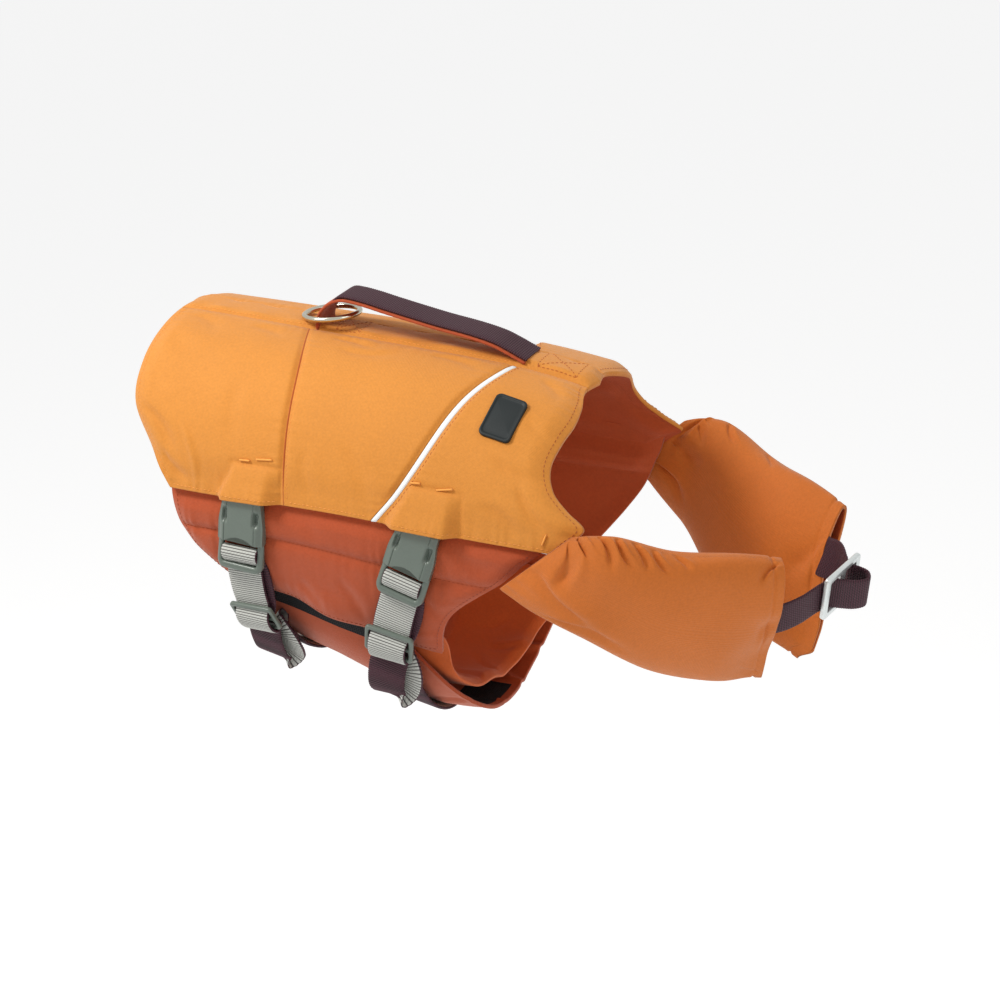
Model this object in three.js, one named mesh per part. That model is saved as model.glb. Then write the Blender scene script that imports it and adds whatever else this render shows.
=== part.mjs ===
// A dog's life jacket, fastened and held open as if worn by an invisible dog.
// Millimetres, +Z up, +X towards the head, -Y is the dog's right side, where the buckles are.
// The origin is the middle of the back, on the inner face that rests on the dog.
import * as THREE from "three";

// Driving sizes
const WEBBING_WIDTH = 25;
const WEBBING_THICK = 1.6;
const SEAM_GAP = 0.4; // between neighbouring pieces
const FOAM = 8.5; // thickness of the padded upper panels
const FLAP_FOAM = 6.5; // thickness of the side flaps
const FLAP_EDGE = 2.6; // thickness of a side flap at its edges and under the hem
const PINCHED = 3; // thickness of a padded panel at its sewn edge
const SPINE_ANGLE = 8; // where the spine band meets the side panels, in degrees
const HEM_ANGLE = 83; // the hem of the upper panels
const SQUARENESS = 0.01; // how far the torso's section is from an ellipse
const HEM_CLEARANCE = 3.6; // how far the hem stands off the torso, over the side flap
const PIPING_WIDTH = 4;
const SEAM_EASE = 0.3; // the seam gap as an angle
const RIGHT = -1;
const LEFT = 1;

// Colours
const ORANGE = 0xe08a2e;
const RUST = 0xa8482a;
const DARK_ORANGE = 0x9c3f1c;
const WHITE = 0xe6ebee;
const PURPLE = 0x42202c;
const GREY_WEBBING = 0xb4b6b0;
const GREY_PLASTIC = 0x727a74;
const PALE_METAL = 0xc9ccc8;
const BLACK = 0x22282a;

// The dog's torso inside the jacket, a row for each section along the body
const TORSO = [
  { x: -150, half: 80, top: 6, widest: -96, bottom: -184 },
  { x: -90, half: 86, top: 4, widest: -95, bottom: -188 },
  { x: -45, half: 89, top: 2, widest: -93, bottom: -197 },
  { x: 0, half: 91, top: 0, widest: -92, bottom: -214 },
  { x: 45, half: 92, top: -2, widest: -93, bottom: -227 },
  { x: 90, half: 93, top: -5, widest: -94, bottom: -225 },
  { x: 135, half: 93, top: -12, widest: -94, bottom: -216 },
  { x: 180, half: 92, top: -20, widest: -94, bottom: -203 },
];

// Seams and edges of the upper panels: where they lie at each angle from the spine
const REAR_EDGE = [
  { angle: 0, x: -140 },
  { angle: 20, x: -144 },
  { angle: 40, x: -147 },
  { angle: 56, x: -145 },
  { angle: 68, x: -132 },
  { angle: 83, x: -112 },
];
const WAIST_SEAM = [
  { angle: 0, x: -56 },
  { angle: 15, x: -48 },
  { angle: 35, x: -39 },
  { angle: 60, x: -34 },
  { angle: 83, x: -31 },
];
const PIPING_LINE = [
  { angle: 0, x: 90 },
  { angle: 15, x: 82 },
  { angle: 36, x: 69 },
  { angle: 57, x: 56 },
  { angle: 72, x: 43 },
  { angle: 83, x: 29 },
];
const NECK_EDGE = [
  { angle: 0, x: 136 },
  { angle: 10, x: 133 },
  { angle: 20, x: 137 },
  { angle: 30, x: 138 },
  { angle: 40, x: 135 },
  { angle: 51, x: 133 },
  { angle: 60, x: 138 },
  { angle: 66, x: 148 },
  { angle: 72, x: 160 },
  { angle: 78, x: 152 },
  { angle: 83, x: 144 },
];

// Edges of the side flaps, from their top edge at 0 to their lower edge at 1
const RIGHT_FLAP = [
  { down: 0, rear: -113, front: 144 },
  { down: 0.2, rear: -113, front: 132 },
  { down: 0.42, rear: -109, front: 111 },
  { down: 0.54, rear: -104, front: 94 },
  { down: 0.66, rear: -98, front: 79 },
  { down: 0.8, rear: -87, front: 70 },
  { down: 1, rear: -70, front: 66 },
];
const LEFT_FLAP = [
  { down: 0, rear: -113, front: 148 },
  { down: 0.2, rear: -113, front: 144 },
  { down: 0.45, rear: -108, front: 135 },
  { down: 0.62, rear: -100, front: 124 },
  { down: 0.8, rear: -87, front: 110 },
  { down: 1, rear: -70, front: 94 },
];
const FLAP_TOP_ANGLE = 77;
// Between the two straps the right flap's lower edge stands off the belly panel
const GAPE = { rear: -36, front: 23, lift: 4.5 };
const FLAP_LOW_ANGLE = [
  { along: 0, angle: 119 },
  { along: 0.3, angle: 118 },
  { along: 0.6, angle: 119.5 },
  { along: 1, angle: 122 },
];

// The belly panel runs from behind the right flap, at 0, under the dog to the left flap, at 1
const BELLY = [
  { around: 0, rear: -64, front: 30, drop: -4.6 },
  { around: 0.1, rear: -62, front: 39, drop: -3.4 },
  { around: 0.2, rear: -58, front: 60, drop: 1.2 },
  { around: 0.35, rear: -54, front: 76, drop: 3.4 },
  { around: 0.5, rear: -52, front: 79, drop: 3.7 },
  { around: 0.7, rear: -54, front: 80, drop: 2.4 },
  { around: 0.88, rear: -62, front: 87, drop: 0.6 },
  { around: 1, rear: -70, front: 94, drop: 0 },
];
const BELLY_STEPS = [0, 0.05, 0.1, 0.15, 0.2, 0.27, 0.35, 0.42, 0.5, 0.58, 0.66, 0.74, 0.82, 0.9, 0.96, 1];
const BELLY_THICK = 3.2;
const BELLY_START = -109;

// The soft pad inside the front of the belly panel, from behind the right flap to the left one.
// It hangs inside the belly panel, off it by the gap.
const BELLY_PAD = [
  { around: 0.05, rear: 30, front: 58, gap: 1 },
  { around: 0.12, rear: 26, front: 64, gap: 1.2 },
  { around: 0.2, rear: 23, front: 68, gap: 3 },
  { around: 0.3, rear: 21, front: 71, gap: 8 },
  { around: 0.42, rear: 20, front: 74, gap: 12.5 },
  { around: 0.58, rear: 18, front: 77, gap: 12.5 },
  { around: 0.74, rear: 18, front: 80, gap: 8 },
  { around: 0.88, rear: 18, front: 85, gap: 3 },
  { around: 0.96, rear: 18, front: 89, gap: 0.8 },
];
const PAD = { thick: 4, ripple: 1.1, waves: 4 };

// One neck float, on the right side: its upper and lower edge and its thickness, from the shoulder on
const COLLAR = [
  { along: 0, topX: 157, topY: -107, topZ: -68, lowX: 112, lowY: -105, lowZ: -108, thick: 7 },
  { along: 0.1, topX: 169, topY: -108, topZ: -65, lowX: 132, lowY: -104, lowZ: -119, thick: 14 },
  { along: 0.25, topX: 186, topY: -104, topZ: -65, lowX: 161, lowY: -95, lowZ: -133, thick: 23 },
  { along: 0.5, topX: 215, topY: -88, topZ: -76, lowX: 192, lowY: -66, lowZ: -160, thick: 29 },
  { along: 0.78, topX: 244, topY: -67, topZ: -81, lowX: 227, lowY: -35, lowZ: -175, thick: 30 },
  { along: 1, topX: 268, topY: -49, topZ: -87, lowX: 249, lowY: -18, lowZ: -179, thick: 27 },
];
const COLLAR_STEPS = [0, 0.05, 0.12, 0.22, 0.34, 0.46, 0.58, 0.7, 0.82, 0.92, 1];
const COLLAR_SIDES = 16;
const LEFT_REACH = 11; // how much further forward the left float reaches
const ROOT_INWARD = { right: 2.9, left: 1.8 }; // seats each float's root on the panels behind it
const SLEEVE_WALL = 2.5;
const SLEEVE_DEPTH = 20;

// Hard pieces; down is measured along the body's side from a little above the hem
const STRAP_RISE = 4.5;
const BUCKLE = {
  width: 31,
  thick: 8,
  socket: 30,
  latch: 17,
  window: 7.5,
  frame: 4,
  lift: 11.2,
  socketDown: 16,
  latchDown: 40,
  latchLift: 13.6,
};
const SLIDER = { width: 32, height: 20, bar: 2.8, thick: 2.6, down: 78, lift: 16 };

// Where the two belly straps run: the place along the body at each distance below the hem
const REAR_STRAP = [
  { down: -4, x: -58 },
  { down: 40, x: -60 },
  { down: 78, x: -56 },
  { down: 110, x: -50 },
  { down: 230, x: -42 },
];
const FRONT_STRAP = [
  { down: -4, x: 62 },
  { down: 40, x: 49 },
  { down: 78, x: 39 },
  { down: 110, x: 37 },
  { down: 230, x: 40 },
];

// A strap's route: sewn to the slider's bar, up inside the latch, down again, through the slider
// and on under the belly panel
const STRAP_PATH = [
  { down: 77.4, lift: 13 },
  { down: 73, lift: 11.2 },
  { down: 67, lift: 10 },
  { down: 58, lift: 8.7 },
  { down: 49, lift: 7.7 },
  { down: 42, lift: 7.7 },
  { down: 38, lift: 8.4 },
  { down: 36, lift: 10.3 },
  { down: 36.6, lift: 12.2 },
  { down: 38.6, lift: 12.9 },
  { down: 40.4, lift: 12 },
  { down: 42.2, lift: 10.5 },
  { down: 45, lift: 10.2 },
  { down: 50, lift: 10.4 },
  { down: 57, lift: 11.4 },
  { down: 64, lift: 12.6 },
  { down: 69, lift: 13.1 },
  { down: 71.8, lift: 14 },
  { down: 73.4, lift: 16.4 },
  { down: 75, lift: 18.8 },
  { down: 78, lift: 20 },
  { down: 81, lift: 18.8 },
  { down: 82.6, lift: 16.4 },
  { down: 84.2, lift: 14 },
  { down: 87, lift: 12.9 },
  { down: 92, lift: 12.2 },
  { down: 99, lift: 11 },
  { down: 108, lift: 9.8 },
  { down: 117, lift: 9.3 },
  { down: 127, lift: 9.2 },
  { down: 137, lift: 9.2 },
  { down: 147, lift: 9.2 },
  { down: 157, lift: 9.2 },
  { down: 167, lift: 9.2 },
  { down: 177, lift: 9.2 },
  { down: 187, lift: 9.2 },
];

// The handle's route over the spine, from its rear root, which turns back under the ring
const SPINE_TOP = 6.9;
const HANDLE_WIDTH = 26;
const HANDLE_LAYER = 1.8;
const HANDLE = [
  { x: -21, rise: 2.3 },
  { x: -31, rise: 2.3 },
  { x: -38, rise: 2.4 },
  { x: -42.6, rise: 3.6 },
  { x: -44.8, rise: 6.6 },
  { x: -43.8, rise: 9.8 },
  { x: -40.6, rise: 12.6 },
  { x: -36, rise: 15.2 },
  { x: -31, rise: 16.8 },
  { x: -25, rise: 17.2 },
  { x: -14, rise: 16.2 },
  { x: -2, rise: 14.4 },
  { x: 16, rise: 11.9 },
  { x: 34, rise: 9.6 },
  { x: 54, rise: 7.8 },
  { x: 70, rise: 5.4 },
  { x: 80, rise: 2.2 },
  { x: 86, rise: 0.2 },
];
const LEAD_RING = { x: -42, radius: 15.8, wire: 3.4, long: 1.12, rise: 3.7, lean: -0.12 };

const PATCH = { x: 98, angle: 38, width: 20, height: 29, tilt: 6, millimetresPerDegree: 1.65, lift: 8.9, thick: 2 };

// The slider at the throat, and the strap that goes through it from sleeve to sleeve
const COLLAR_SLIDER = {
  width: 33,
  height: 32,
  bar: 3.2,
  thick: 3,
  middle: new THREE.Vector3(290, 2, -120),
  along: new THREE.Vector3(0.37, 0.88, 0.31),
  upright: new THREE.Vector3(0.16, -0.36, 0.92),
};
const COLLAR_STRAP = [
  { x: 262, y: -31, z: -132, twist: 0 },
  { x: 272, y: -21.5, z: -129, twist: 0 },
  { x: 280.7, y: -10.4, z: -124, twist: 0 },
  { x: 286.1, y: -4.7, z: -122.2, twist: 0 },
  { x: 292.7, y: -2.8, z: -122.5, twist: 0 },
  { x: 300.5, y: -0.3, z: -122.7, twist: 0 },
  { x: 305.9, y: 4, z: -121.7, twist: 0 },
  { x: 304.2, y: 8.5, z: -119.6, twist: 0 },
  { x: 298.5, y: 9.8, z: -118.1, twist: 0 },
  { x: 292.2, y: 9.8, z: -117.1, twist: 0 },
  { x: 288.6, y: 14.2, z: -114.8, twist: 0.15 },
  { x: 284, y: 21, z: -113.5, twist: 0.45 },
  { x: 279, y: 27, z: -114.5, twist: 0.75 },
  { x: 271, y: 33.5, z: -116, twist: 1 },
];
// The strap is sewn in at the bottom of each sleeve, this far above or below the sleeve's middle
const SLEEVE_SEAT = { gap: 0.4, straight: 7, rightUp: 1.5, leftUp: 17 };

// Grid steps that crowd towards the edges, where a padded panel is pinched
const CROWDED = [0, 0.02, 0.07, 0.16, 0.3, 0.5, 0.7, 0.84, 0.93, 0.98, 1];
const CROWDED_LONG = [0, 0.015, 0.05, 0.11, 0.2, 0.32, 0.44, 0.56, 0.68, 0.8, 0.89, 0.95, 0.985, 1];

const part = new THREE.Group();

// A smooth value from a table's column, at a place in its first column
function fromTable(table, key, column, at) {
  const last = table.length - 1;
  if (at <= table[0][key]) {
    return table[0][column];
  }
  if (at >= table[last][key]) {
    return table[last][column];
  }
  let i = 0;
  while (table[i + 1][key] < at) {
    i += 1;
  }
  const span = table[i + 1][key] - table[i][key];
  const t = (at - table[i][key]) / span;
  const slope = (k) => {
    const a = table[Math.max(k - 1, 0)];
    const b = table[Math.min(k + 1, last)];
    return (b[column] - a[column]) / (b[key] - a[key]);
  };
  const start = table[i][column];
  const end = table[i + 1][column];
  const m0 = slope(i) * span;
  const m1 = slope(i + 1) * span;
  const t2 = t * t;
  const t3 = t2 * t;
  return start * (2 * t3 - 3 * t2 + 1) + m0 * (t3 - 2 * t2 + t) + end * (3 * t2 - 2 * t3) + m1 * (t3 - t2);
}

function edgeAt(table, angle) {
  return fromTable(table, "angle", "x", Math.abs(angle));
}

function smooth(low, high, at) {
  const t = Math.min(Math.max((at - low) / (high - low), 0), 1);
  return t * t * (3 - 2 * t);
}

// A point of the torso: the angle is 0 at the spine, negative on the right side, 180 at the belly
function torso(x, angle) {
  const half = fromTable(TORSO, "x", "half", x);
  const widest = fromTable(TORSO, "x", "widest", x);
  const turn = THREE.MathUtils.degToRad(angle);
  const across = (Math.sin(turn) + SQUARENESS * Math.sin(3 * turn)) / (1 - SQUARENESS);
  const upward = (Math.cos(turn) - SQUARENESS * Math.cos(3 * turn)) / (1 - SQUARENESS);
  const reach = upward > 0
    ? fromTable(TORSO, "x", "top", x) - widest
    : widest - fromTable(TORSO, "x", "bottom", x);
  return new THREE.Vector3(x, half * across, widest + reach * upward);
}

function outward(x, angle) {
  const alongX = torso(x + 0.5, angle).sub(torso(x - 0.5, angle));
  const aroundIt = torso(x, angle + 0.25).sub(torso(x, angle - 0.25));
  return alongX.cross(aroundIt).normalize();
}

// A point that is lifted off the torso by a distance
function lifted(x, angle, lift) {
  return torso(x, angle).addScaledVector(outward(x, angle), lift);
}

function addMesh(name, geometry, color, metalness = 0, roughness = 0.85) {
  const mesh = new THREE.Mesh(geometry, new THREE.MeshStandardMaterial({ color, metalness, roughness }));
  mesh.name = name;
  part.add(mesh);
  return mesh;
}

function closedGeometry(points, triangles) {
  const geometry = new THREE.BufferGeometry();
  geometry.setAttribute("position", new THREE.Float32BufferAttribute(points.flatMap((p) => p.toArray()), 3));
  geometry.setIndex(triangles);
  geometry.computeVertexNormals();
  return geometry;
}

// A wall between two grids of points, closed all round its rim.
// place(u, v) gives { inner, outer }; u runs towards the head and v turns as the angle grows.
function wall(name, place, stepsU, stepsV, color) {
  const inner = [];
  const outer = [];
  for (const u of stepsU) {
    for (const v of stepsV) {
      const at = place(u, v);
      inner.push(at.inner);
      outer.push(at.outer);
    }
  }
  const rows = stepsV.length;
  const count = inner.length;
  const top = (i, j) => i * rows + j + count;
  const under = (i, j) => i * rows + j;
  const triangles = [];
  const quad = (a, b, c, d) => triangles.push(a, b, c, a, c, d);
  const lastU = stepsU.length - 1;
  const lastV = rows - 1;
  for (let i = 0; i < lastU; i += 1) {
    for (let j = 0; j < lastV; j += 1) {
      quad(top(i, j), top(i + 1, j), top(i + 1, j + 1), top(i, j + 1));
      quad(under(i, j), under(i, j + 1), under(i + 1, j + 1), under(i + 1, j));
    }
    quad(under(i, 0), under(i + 1, 0), top(i + 1, 0), top(i, 0));
    quad(under(i + 1, lastV), under(i, lastV), top(i, lastV), top(i + 1, lastV));
  }
  for (let j = 0; j < lastV; j += 1) {
    quad(under(0, j + 1), under(0, j), top(0, j), top(0, j + 1));
    quad(under(lastU, j), under(lastU, j + 1), top(lastU, j + 1), top(lastU, j));
  }
  return addMesh(name, closedGeometry([...inner, ...outer], triangles), color);
}

// 0 on a sewn edge and 1 a little way in, where the foam has its full thickness
function puff(u, v, lengthU, lengthV, softness) {
  const edgeU = Math.min(u, 1 - u) * lengthU;
  const edgeV = Math.min(v, 1 - v) * lengthV;
  return Math.sqrt(smooth(0, softness, edgeU) * smooth(0, softness, edgeV));
}

// A padded panel on the upper body, on one side, between two seam tables
function upperPanel(name, side, rearTable, frontTable, rearSteps) {
  const low = SPINE_ANGLE + 0.3;
  const place = (u, vIn) => {
    const v = side === LEFT ? vIn : 1 - vIn;
    const angle = low + (HEM_ANGLE - low) * v;
    const rear = edgeAt(rearTable, angle) + SEAM_GAP / 2;
    const front = edgeAt(frontTable, angle) - SEAM_GAP / 2;
    const x = rear + (front - rear) * u;
    // The padding thins towards the spine
    const nearSpine = 0.35 + 0.65 * smooth(0, 0.36, v);
    const full = puff(u, v, front - rear, 130, 16) * nearSpine;
    // The hem hangs over the top edge of the side flap, which is thin there
    const over = smooth(0.86, 0.91, v) * HEM_CLEARANCE;
    const foam = FOAM * (1 - 0.62 * smooth(0.84, 0.93, v));
    const thick = Math.max(PINCHED, PINCHED + (foam - PINCHED) * full);
    return {
      inner: lifted(x, side * angle, over),
      outer: lifted(x, side * angle, over + thick),
    };
  };
  const stepsV = [0, 0.03, 0.1, 0.2, 0.32, 0.44, 0.56, 0.68, 0.79, 0.86, 0.91, 0.96, 1];
  const ordered = side === LEFT ? stepsV : stepsV.map((v) => 1 - v).reverse();
  wall(name, place, rearSteps, ordered, ORANGE);
}

function shifted(table, by) {
  return table.map((row) => ({ ...row, x: row.x + by }));
}

function upperPanels() {
  for (const [side, word] of [[RIGHT, "right"], [LEFT, "left"]]) {
    upperPanel(`rear_panel_${word}`, side, REAR_EDGE, WAIST_SEAM, CROWDED);
    upperPanel(`middle_panel_${word}`, side, WAIST_SEAM, shifted(PIPING_LINE, -PIPING_WIDTH / 2), CROWDED);
    upperPanel(`shoulder_panel_${word}`, side, shifted(PIPING_LINE, PIPING_WIDTH / 2), NECK_EDGE, CROWDED);
    piping(`piping_${word}`, side);
  }
}

// The reflective strip that is sewn between the middle and shoulder panels
function piping(name, side) {
  const low = SPINE_ANGLE + 0.3;
  const place = (u, vIn) => {
    const v = side === LEFT ? vIn : 1 - vIn;
    const angle = low + (HEM_ANGLE - low) * v;
    const middle = edgeAt(PIPING_LINE, angle);
    const x = middle + (u - 0.5) * (PIPING_WIDTH - SEAM_GAP);
    const over = smooth(0.86, 0.91, v) * HEM_CLEARANCE;
    const crown = 4 + 1.2 * Math.sin(Math.PI * u);
    return {
      inner: lifted(x, side * angle, over),
      outer: lifted(x, side * angle, over + crown),
    };
  };
  const stepsV = [0, 0.03, 0.1, 0.2, 0.32, 0.44, 0.56, 0.68, 0.79, 0.86, 0.91, 0.96, 1];
  const ordered = side === LEFT ? stepsV : stepsV.map((v) => 1 - v).reverse();
  wall(name, place, [0, 0.25, 0.75, 1], ordered, WHITE);
}

// The band over the spine that joins the two sides
function spineBand() {
  const place = (u, v) => {
    const angle = (v * 2 - 1) * (SPINE_ANGLE - 0.1);
    const rear = edgeAt(REAR_EDGE, angle);
    const front = edgeAt(NECK_EDGE, angle);
    const x = rear + (front - rear) * u;
    const full = puff(u, v, front - rear, 26, 9);
    return {
      inner: lifted(x, angle, 0),
      outer: lifted(x, angle, PINCHED + 2.6 * full),
    };
  };
  wall("spine_band", place, CROWDED_LONG, [0, 0.12, 0.3, 0.5, 0.7, 0.88, 1], ORANGE);
}

// A side flap, from behind the hem of the upper panels to its lower edge
function sideFlap(name, side, table) {
  const place = (u, vIn) => {
    const v = side === LEFT ? vIn : 1 - vIn;
    const low = fromTable(FLAP_LOW_ANGLE, "along", "angle", u);
    const angle = FLAP_TOP_ANGLE + (low - FLAP_TOP_ANGLE) * v;
    const rear = fromTable(table, "down", "rear", v);
    const front = fromTable(table, "down", "front", v);
    const x = rear + (front - rear) * u;
    const full = puff(u, v, front - rear, 85, 14);
    const thick = FLAP_EDGE + (FLAP_FOAM - FLAP_EDGE) * full * smooth(HEM_ANGLE + 0.5, HEM_ANGLE + 7, angle);
    // The quilting seam that runs along the flap
    const quilted = thick - 2.2 * full * Math.exp(-(((v - 0.46) / 0.05) ** 2));
    const between = Math.min(Math.max((x - GAPE.rear) / (GAPE.front - GAPE.rear), 0), 1);
    const gape = side === RIGHT ? GAPE.lift * Math.sin(Math.PI * between) ** 2 * smooth(0.72, 1, v) : 0;
    return {
      inner: lifted(x, side * angle, gape),
      outer: lifted(x, side * angle, gape + quilted),
    };
  };
  const stepsV = [0, 0.04, 0.12, 0.24, 0.36, 0.42, 0.46, 0.5, 0.56, 0.7, 0.84, 0.93, 0.98, 1];
  const ordered = side === LEFT ? stepsV : stepsV.map((v) => 1 - v).reverse();
  wall(name, place, CROWDED_LONG, ordered, RUST);
}

// The angle at each share of the way round the belly panel
function bellyAngle(u, v) {
  const end = fromTable(FLAP_LOW_ANGLE, "along", "angle", u) - 360 + SEAM_EASE;
  return BELLY_START + (end - BELLY_START) * v;
}

// The belly panel, thin cloth that goes under the dog
function bellyPanel() {
  const place = (u, v) => {
    const angle = bellyAngle(u, v);
    const rear = fromTable(BELLY, "around", "rear", v);
    const front = fromTable(BELLY, "around", "front", v);
    const x = rear + (front - rear) * u;
    const drop = fromTable(BELLY, "around", "drop", v);
    return {
      inner: lifted(x, angle, drop),
      outer: lifted(x, angle, drop + BELLY_THICK),
    };
  };
  backwardWall("belly_panel", place, CROWDED_LONG, BELLY_STEPS, RUST);
}

// The belly's angles run backwards, so its grid is turned round to keep its faces outward
function backwardWall(name, place, stepsU, stepsV, color) {
  wall(name, (u, v) => place(u, 1 - v), stepsU, stepsV.map((v) => 1 - v).reverse(), color);
}

function bellyPad() {
  const start = BELLY_PAD[0].around;
  const end = BELLY_PAD[BELLY_PAD.length - 1].around;
  const place = (u, v) => {
    const around = start + (end - start) * v;
    const rear = fromTable(BELLY_PAD, "around", "rear", around);
    const front = fromTable(BELLY_PAD, "around", "front", around);
    const x = rear + (front - rear) * u;
    const angle = bellyAngle(u, around);
    // Its front edge waves in and out
    const wave = (1 - Math.cos(v * PAD.waves * Math.PI * 2)) * PAD.ripple * smooth(0.5, 1, u);
    const gap = fromTable(BELLY_PAD, "around", "gap", around);
    const outer = fromTable(BELLY, "around", "drop", around) - gap - wave;
    return {
      inner: lifted(x, angle, outer - PAD.thick),
      outer: lifted(x, angle, outer),
    };
  };
  const steps = BELLY_STEPS.filter((v) => v >= start && v <= end);
  const halves = steps.slice(1).map((v, i) => (v + steps[i]) / 2);
  const around = [...steps, ...halves].sort((a, b) => a - b).map((v) => (v - start) / (end - start));
  backwardWall("belly_pad", place, [0, 0.1, 0.35, 0.65, 0.85, 1], around, DARK_ORANGE);
}

// A neck float: a foam-filled sleeve whose front end is open for the strap
function collarEdge(side, t, edge) {
  const inward = (side === LEFT ? ROOT_INWARD.left : ROOT_INWARD.right) * (1 - smooth(0, 0.4, t));
  return new THREE.Vector3(
    fromTable(COLLAR, "along", `${edge}X`, t) + (side === LEFT ? LEFT_REACH * t * t : 0),
    (fromTable(COLLAR, "along", `${edge}Y`, t) + inward) * -side,
    fromTable(COLLAR, "along", `${edge}Z`, t),
  );
}

function collarMiddle(side, t) {
  return collarEdge(side, t, "top").add(collarEdge(side, t, "low")).multiplyScalar(0.5);
}

function collarDirection(side, t) {
  return collarMiddle(side, Math.min(t + 0.03, 1)).sub(collarMiddle(side, Math.max(t - 0.03, 0))).normalize();
}

function collarFloat(name, side) {
  // A ring of points round the float; less is taken off its width and thickness all round
  const ring = (t, less, back) => {
    const half = collarEdge(side, t, "top").sub(collarEdge(side, t, "low")).multiplyScalar(0.5);
    const path = collarDirection(side, t);
    const across = path.clone().cross(half).normalize();
    const width = half.length() - less;
    const thick = fromTable(COLLAR, "along", "thick", t) / 2 - less;
    const up = half.clone().normalize();
    const points = [];
    for (let k = 0; k < COLLAR_SIDES; k += 1) {
      const turn = (k / COLLAR_SIDES) * Math.PI * 2;
      const c = Math.cos(turn);
      const s = Math.sin(turn);
      const point = collarMiddle(side, t).addScaledVector(path, -back);
      point.addScaledVector(up, width * Math.sign(c) * Math.abs(c) ** 0.8);
      point.addScaledVector(across, thick * Math.sign(s) * Math.abs(s) ** 0.8);
      points.push(point);
    }
    return points;
  };
  const rings = COLLAR_STEPS.map((t) => ring(t, 0, 0));
  rings.push(ring(1, SLEEVE_WALL, 0.01));
  rings.push(ring(1, SLEEVE_WALL, SLEEVE_DEPTH));
  addMesh(name, loft(rings), ORANGE);
}

// A closed body through rings of points, capped at both ends
function loft(rings) {
  const sides = rings[0].length;
  const points = rings.flat();
  const triangles = [];
  for (let i = 0; i < rings.length - 1; i += 1) {
    for (let k = 0; k < sides; k += 1) {
      const a = i * sides + k;
      const b = i * sides + ((k + 1) % sides);
      triangles.push(a, b, b + sides, a, b + sides, a + sides);
    }
  }
  for (const [ringIndex, turned] of [[0, true], [rings.length - 1, false]]) {
    const middle = new THREE.Vector3();
    for (const point of rings[ringIndex]) {
      middle.addScaledVector(point, 1 / sides);
    }
    points.push(middle);
    const tip = points.length - 1;
    for (let k = 0; k < sides; k += 1) {
      const a = ringIndex * sides + k;
      const b = ringIndex * sides + ((k + 1) % sides);
      triangles.push(...(turned ? [b, a, tip] : [a, b, tip]));
    }
  }
  const geometry = closedGeometry(points, triangles);
  return volume(geometry) > 0 ? geometry : closedGeometry(points, flipped(triangles));
}

function flipped(triangles) {
  const out = [];
  for (let i = 0; i < triangles.length; i += 3) {
    out.push(triangles[i], triangles[i + 2], triangles[i + 1]);
  }
  return out;
}

function volume(geometry) {
  const index = geometry.index.array;
  const position = geometry.attributes.position;
  const corner = (i) => new THREE.Vector3().fromBufferAttribute(position, index[i]);
  let total = 0;
  for (let i = 0; i < index.length; i += 3) {
    total += corner(i).dot(corner(i + 1).cross(corner(i + 2))) / 6;
  }
  return total;
}

// Webbing along a path, flat across the direction that is given at each point
function webbing(name, path, across, width, thick, color) {
  const rings = path.map((point, i) => {
    const next = path[Math.min(i + 1, path.length - 1)];
    const before = path[Math.max(i - 1, 0)];
    const along = next.clone().sub(before).normalize();
    const side = across[i].clone().addScaledVector(along, -across[i].dot(along)).normalize();
    const normal = along.clone().cross(side);
    const corner = (a, b) => point.clone()
      .addScaledVector(side, (a * width) / 2)
      .addScaledVector(normal, (b * thick) / 2);
    return [corner(-1, -1), corner(1, -1), corner(1, 1), corner(-1, 1)];
  });
  return addMesh(name, loft(rings), color);
}

function roundedRectangle(width, height, radius, Kind = THREE.Shape) {
  const w = width / 2;
  const h = height / 2;
  const shape = new Kind();
  shape.moveTo(-w + radius, -h);
  shape.lineTo(w - radius, -h);
  shape.absarc(w - radius, -h + radius, radius, -Math.PI / 2, 0);
  shape.lineTo(w, h - radius);
  shape.absarc(w - radius, h - radius, radius, 0, Math.PI / 2);
  shape.lineTo(-w + radius, h);
  shape.absarc(-w + radius, h - radius, radius, Math.PI / 2, Math.PI);
  shape.lineTo(-w, -h + radius);
  shape.absarc(-w + radius, -h + radius, radius, Math.PI, Math.PI * 1.5);
  return shape;
}

// A moulded plate: its outline with windows, given a thickness and a small bevel
function plate(shape, thick, bevel) {
  return new THREE.ExtrudeGeometry(shape, {
    depth: thick - 2 * bevel,
    bevelEnabled: bevel > 0,
    bevelThickness: bevel,
    bevelSize: bevel,
    bevelOffset: -bevel,
    bevelSegments: 1,
    curveSegments: 3,
  }).translate(0, 0, bevel - thick / 2);
}

// The socket half of a side-release buckle, with a notch on each side for its prongs
function buckleSocket(name, matrix) {
  const half = BUCKLE.width / 2;
  const low = -BUCKLE.socket / 2;
  const high = BUCKLE.socket / 2;
  const outline = [
    [-half, low], [half, low], [half, low + 8], [half - 3, low + 11], [half - 3, low + 18],
    [half - 1, low + 20], [half - 3.5, high], [-half + 3.5, high], [-half + 1, low + 20],
    [-half + 3, low + 18], [-half + 3, low + 11], [-half, low + 8],
  ];
  const shape = new THREE.Shape(outline.map(([x, y]) => new THREE.Vector2(x, y)));
  const mesh = addMesh(name, plate(shape, BUCKLE.thick, 1), GREY_PLASTIC, 0, 0.5);
  mesh.applyMatrix4(matrix);
}

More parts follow.
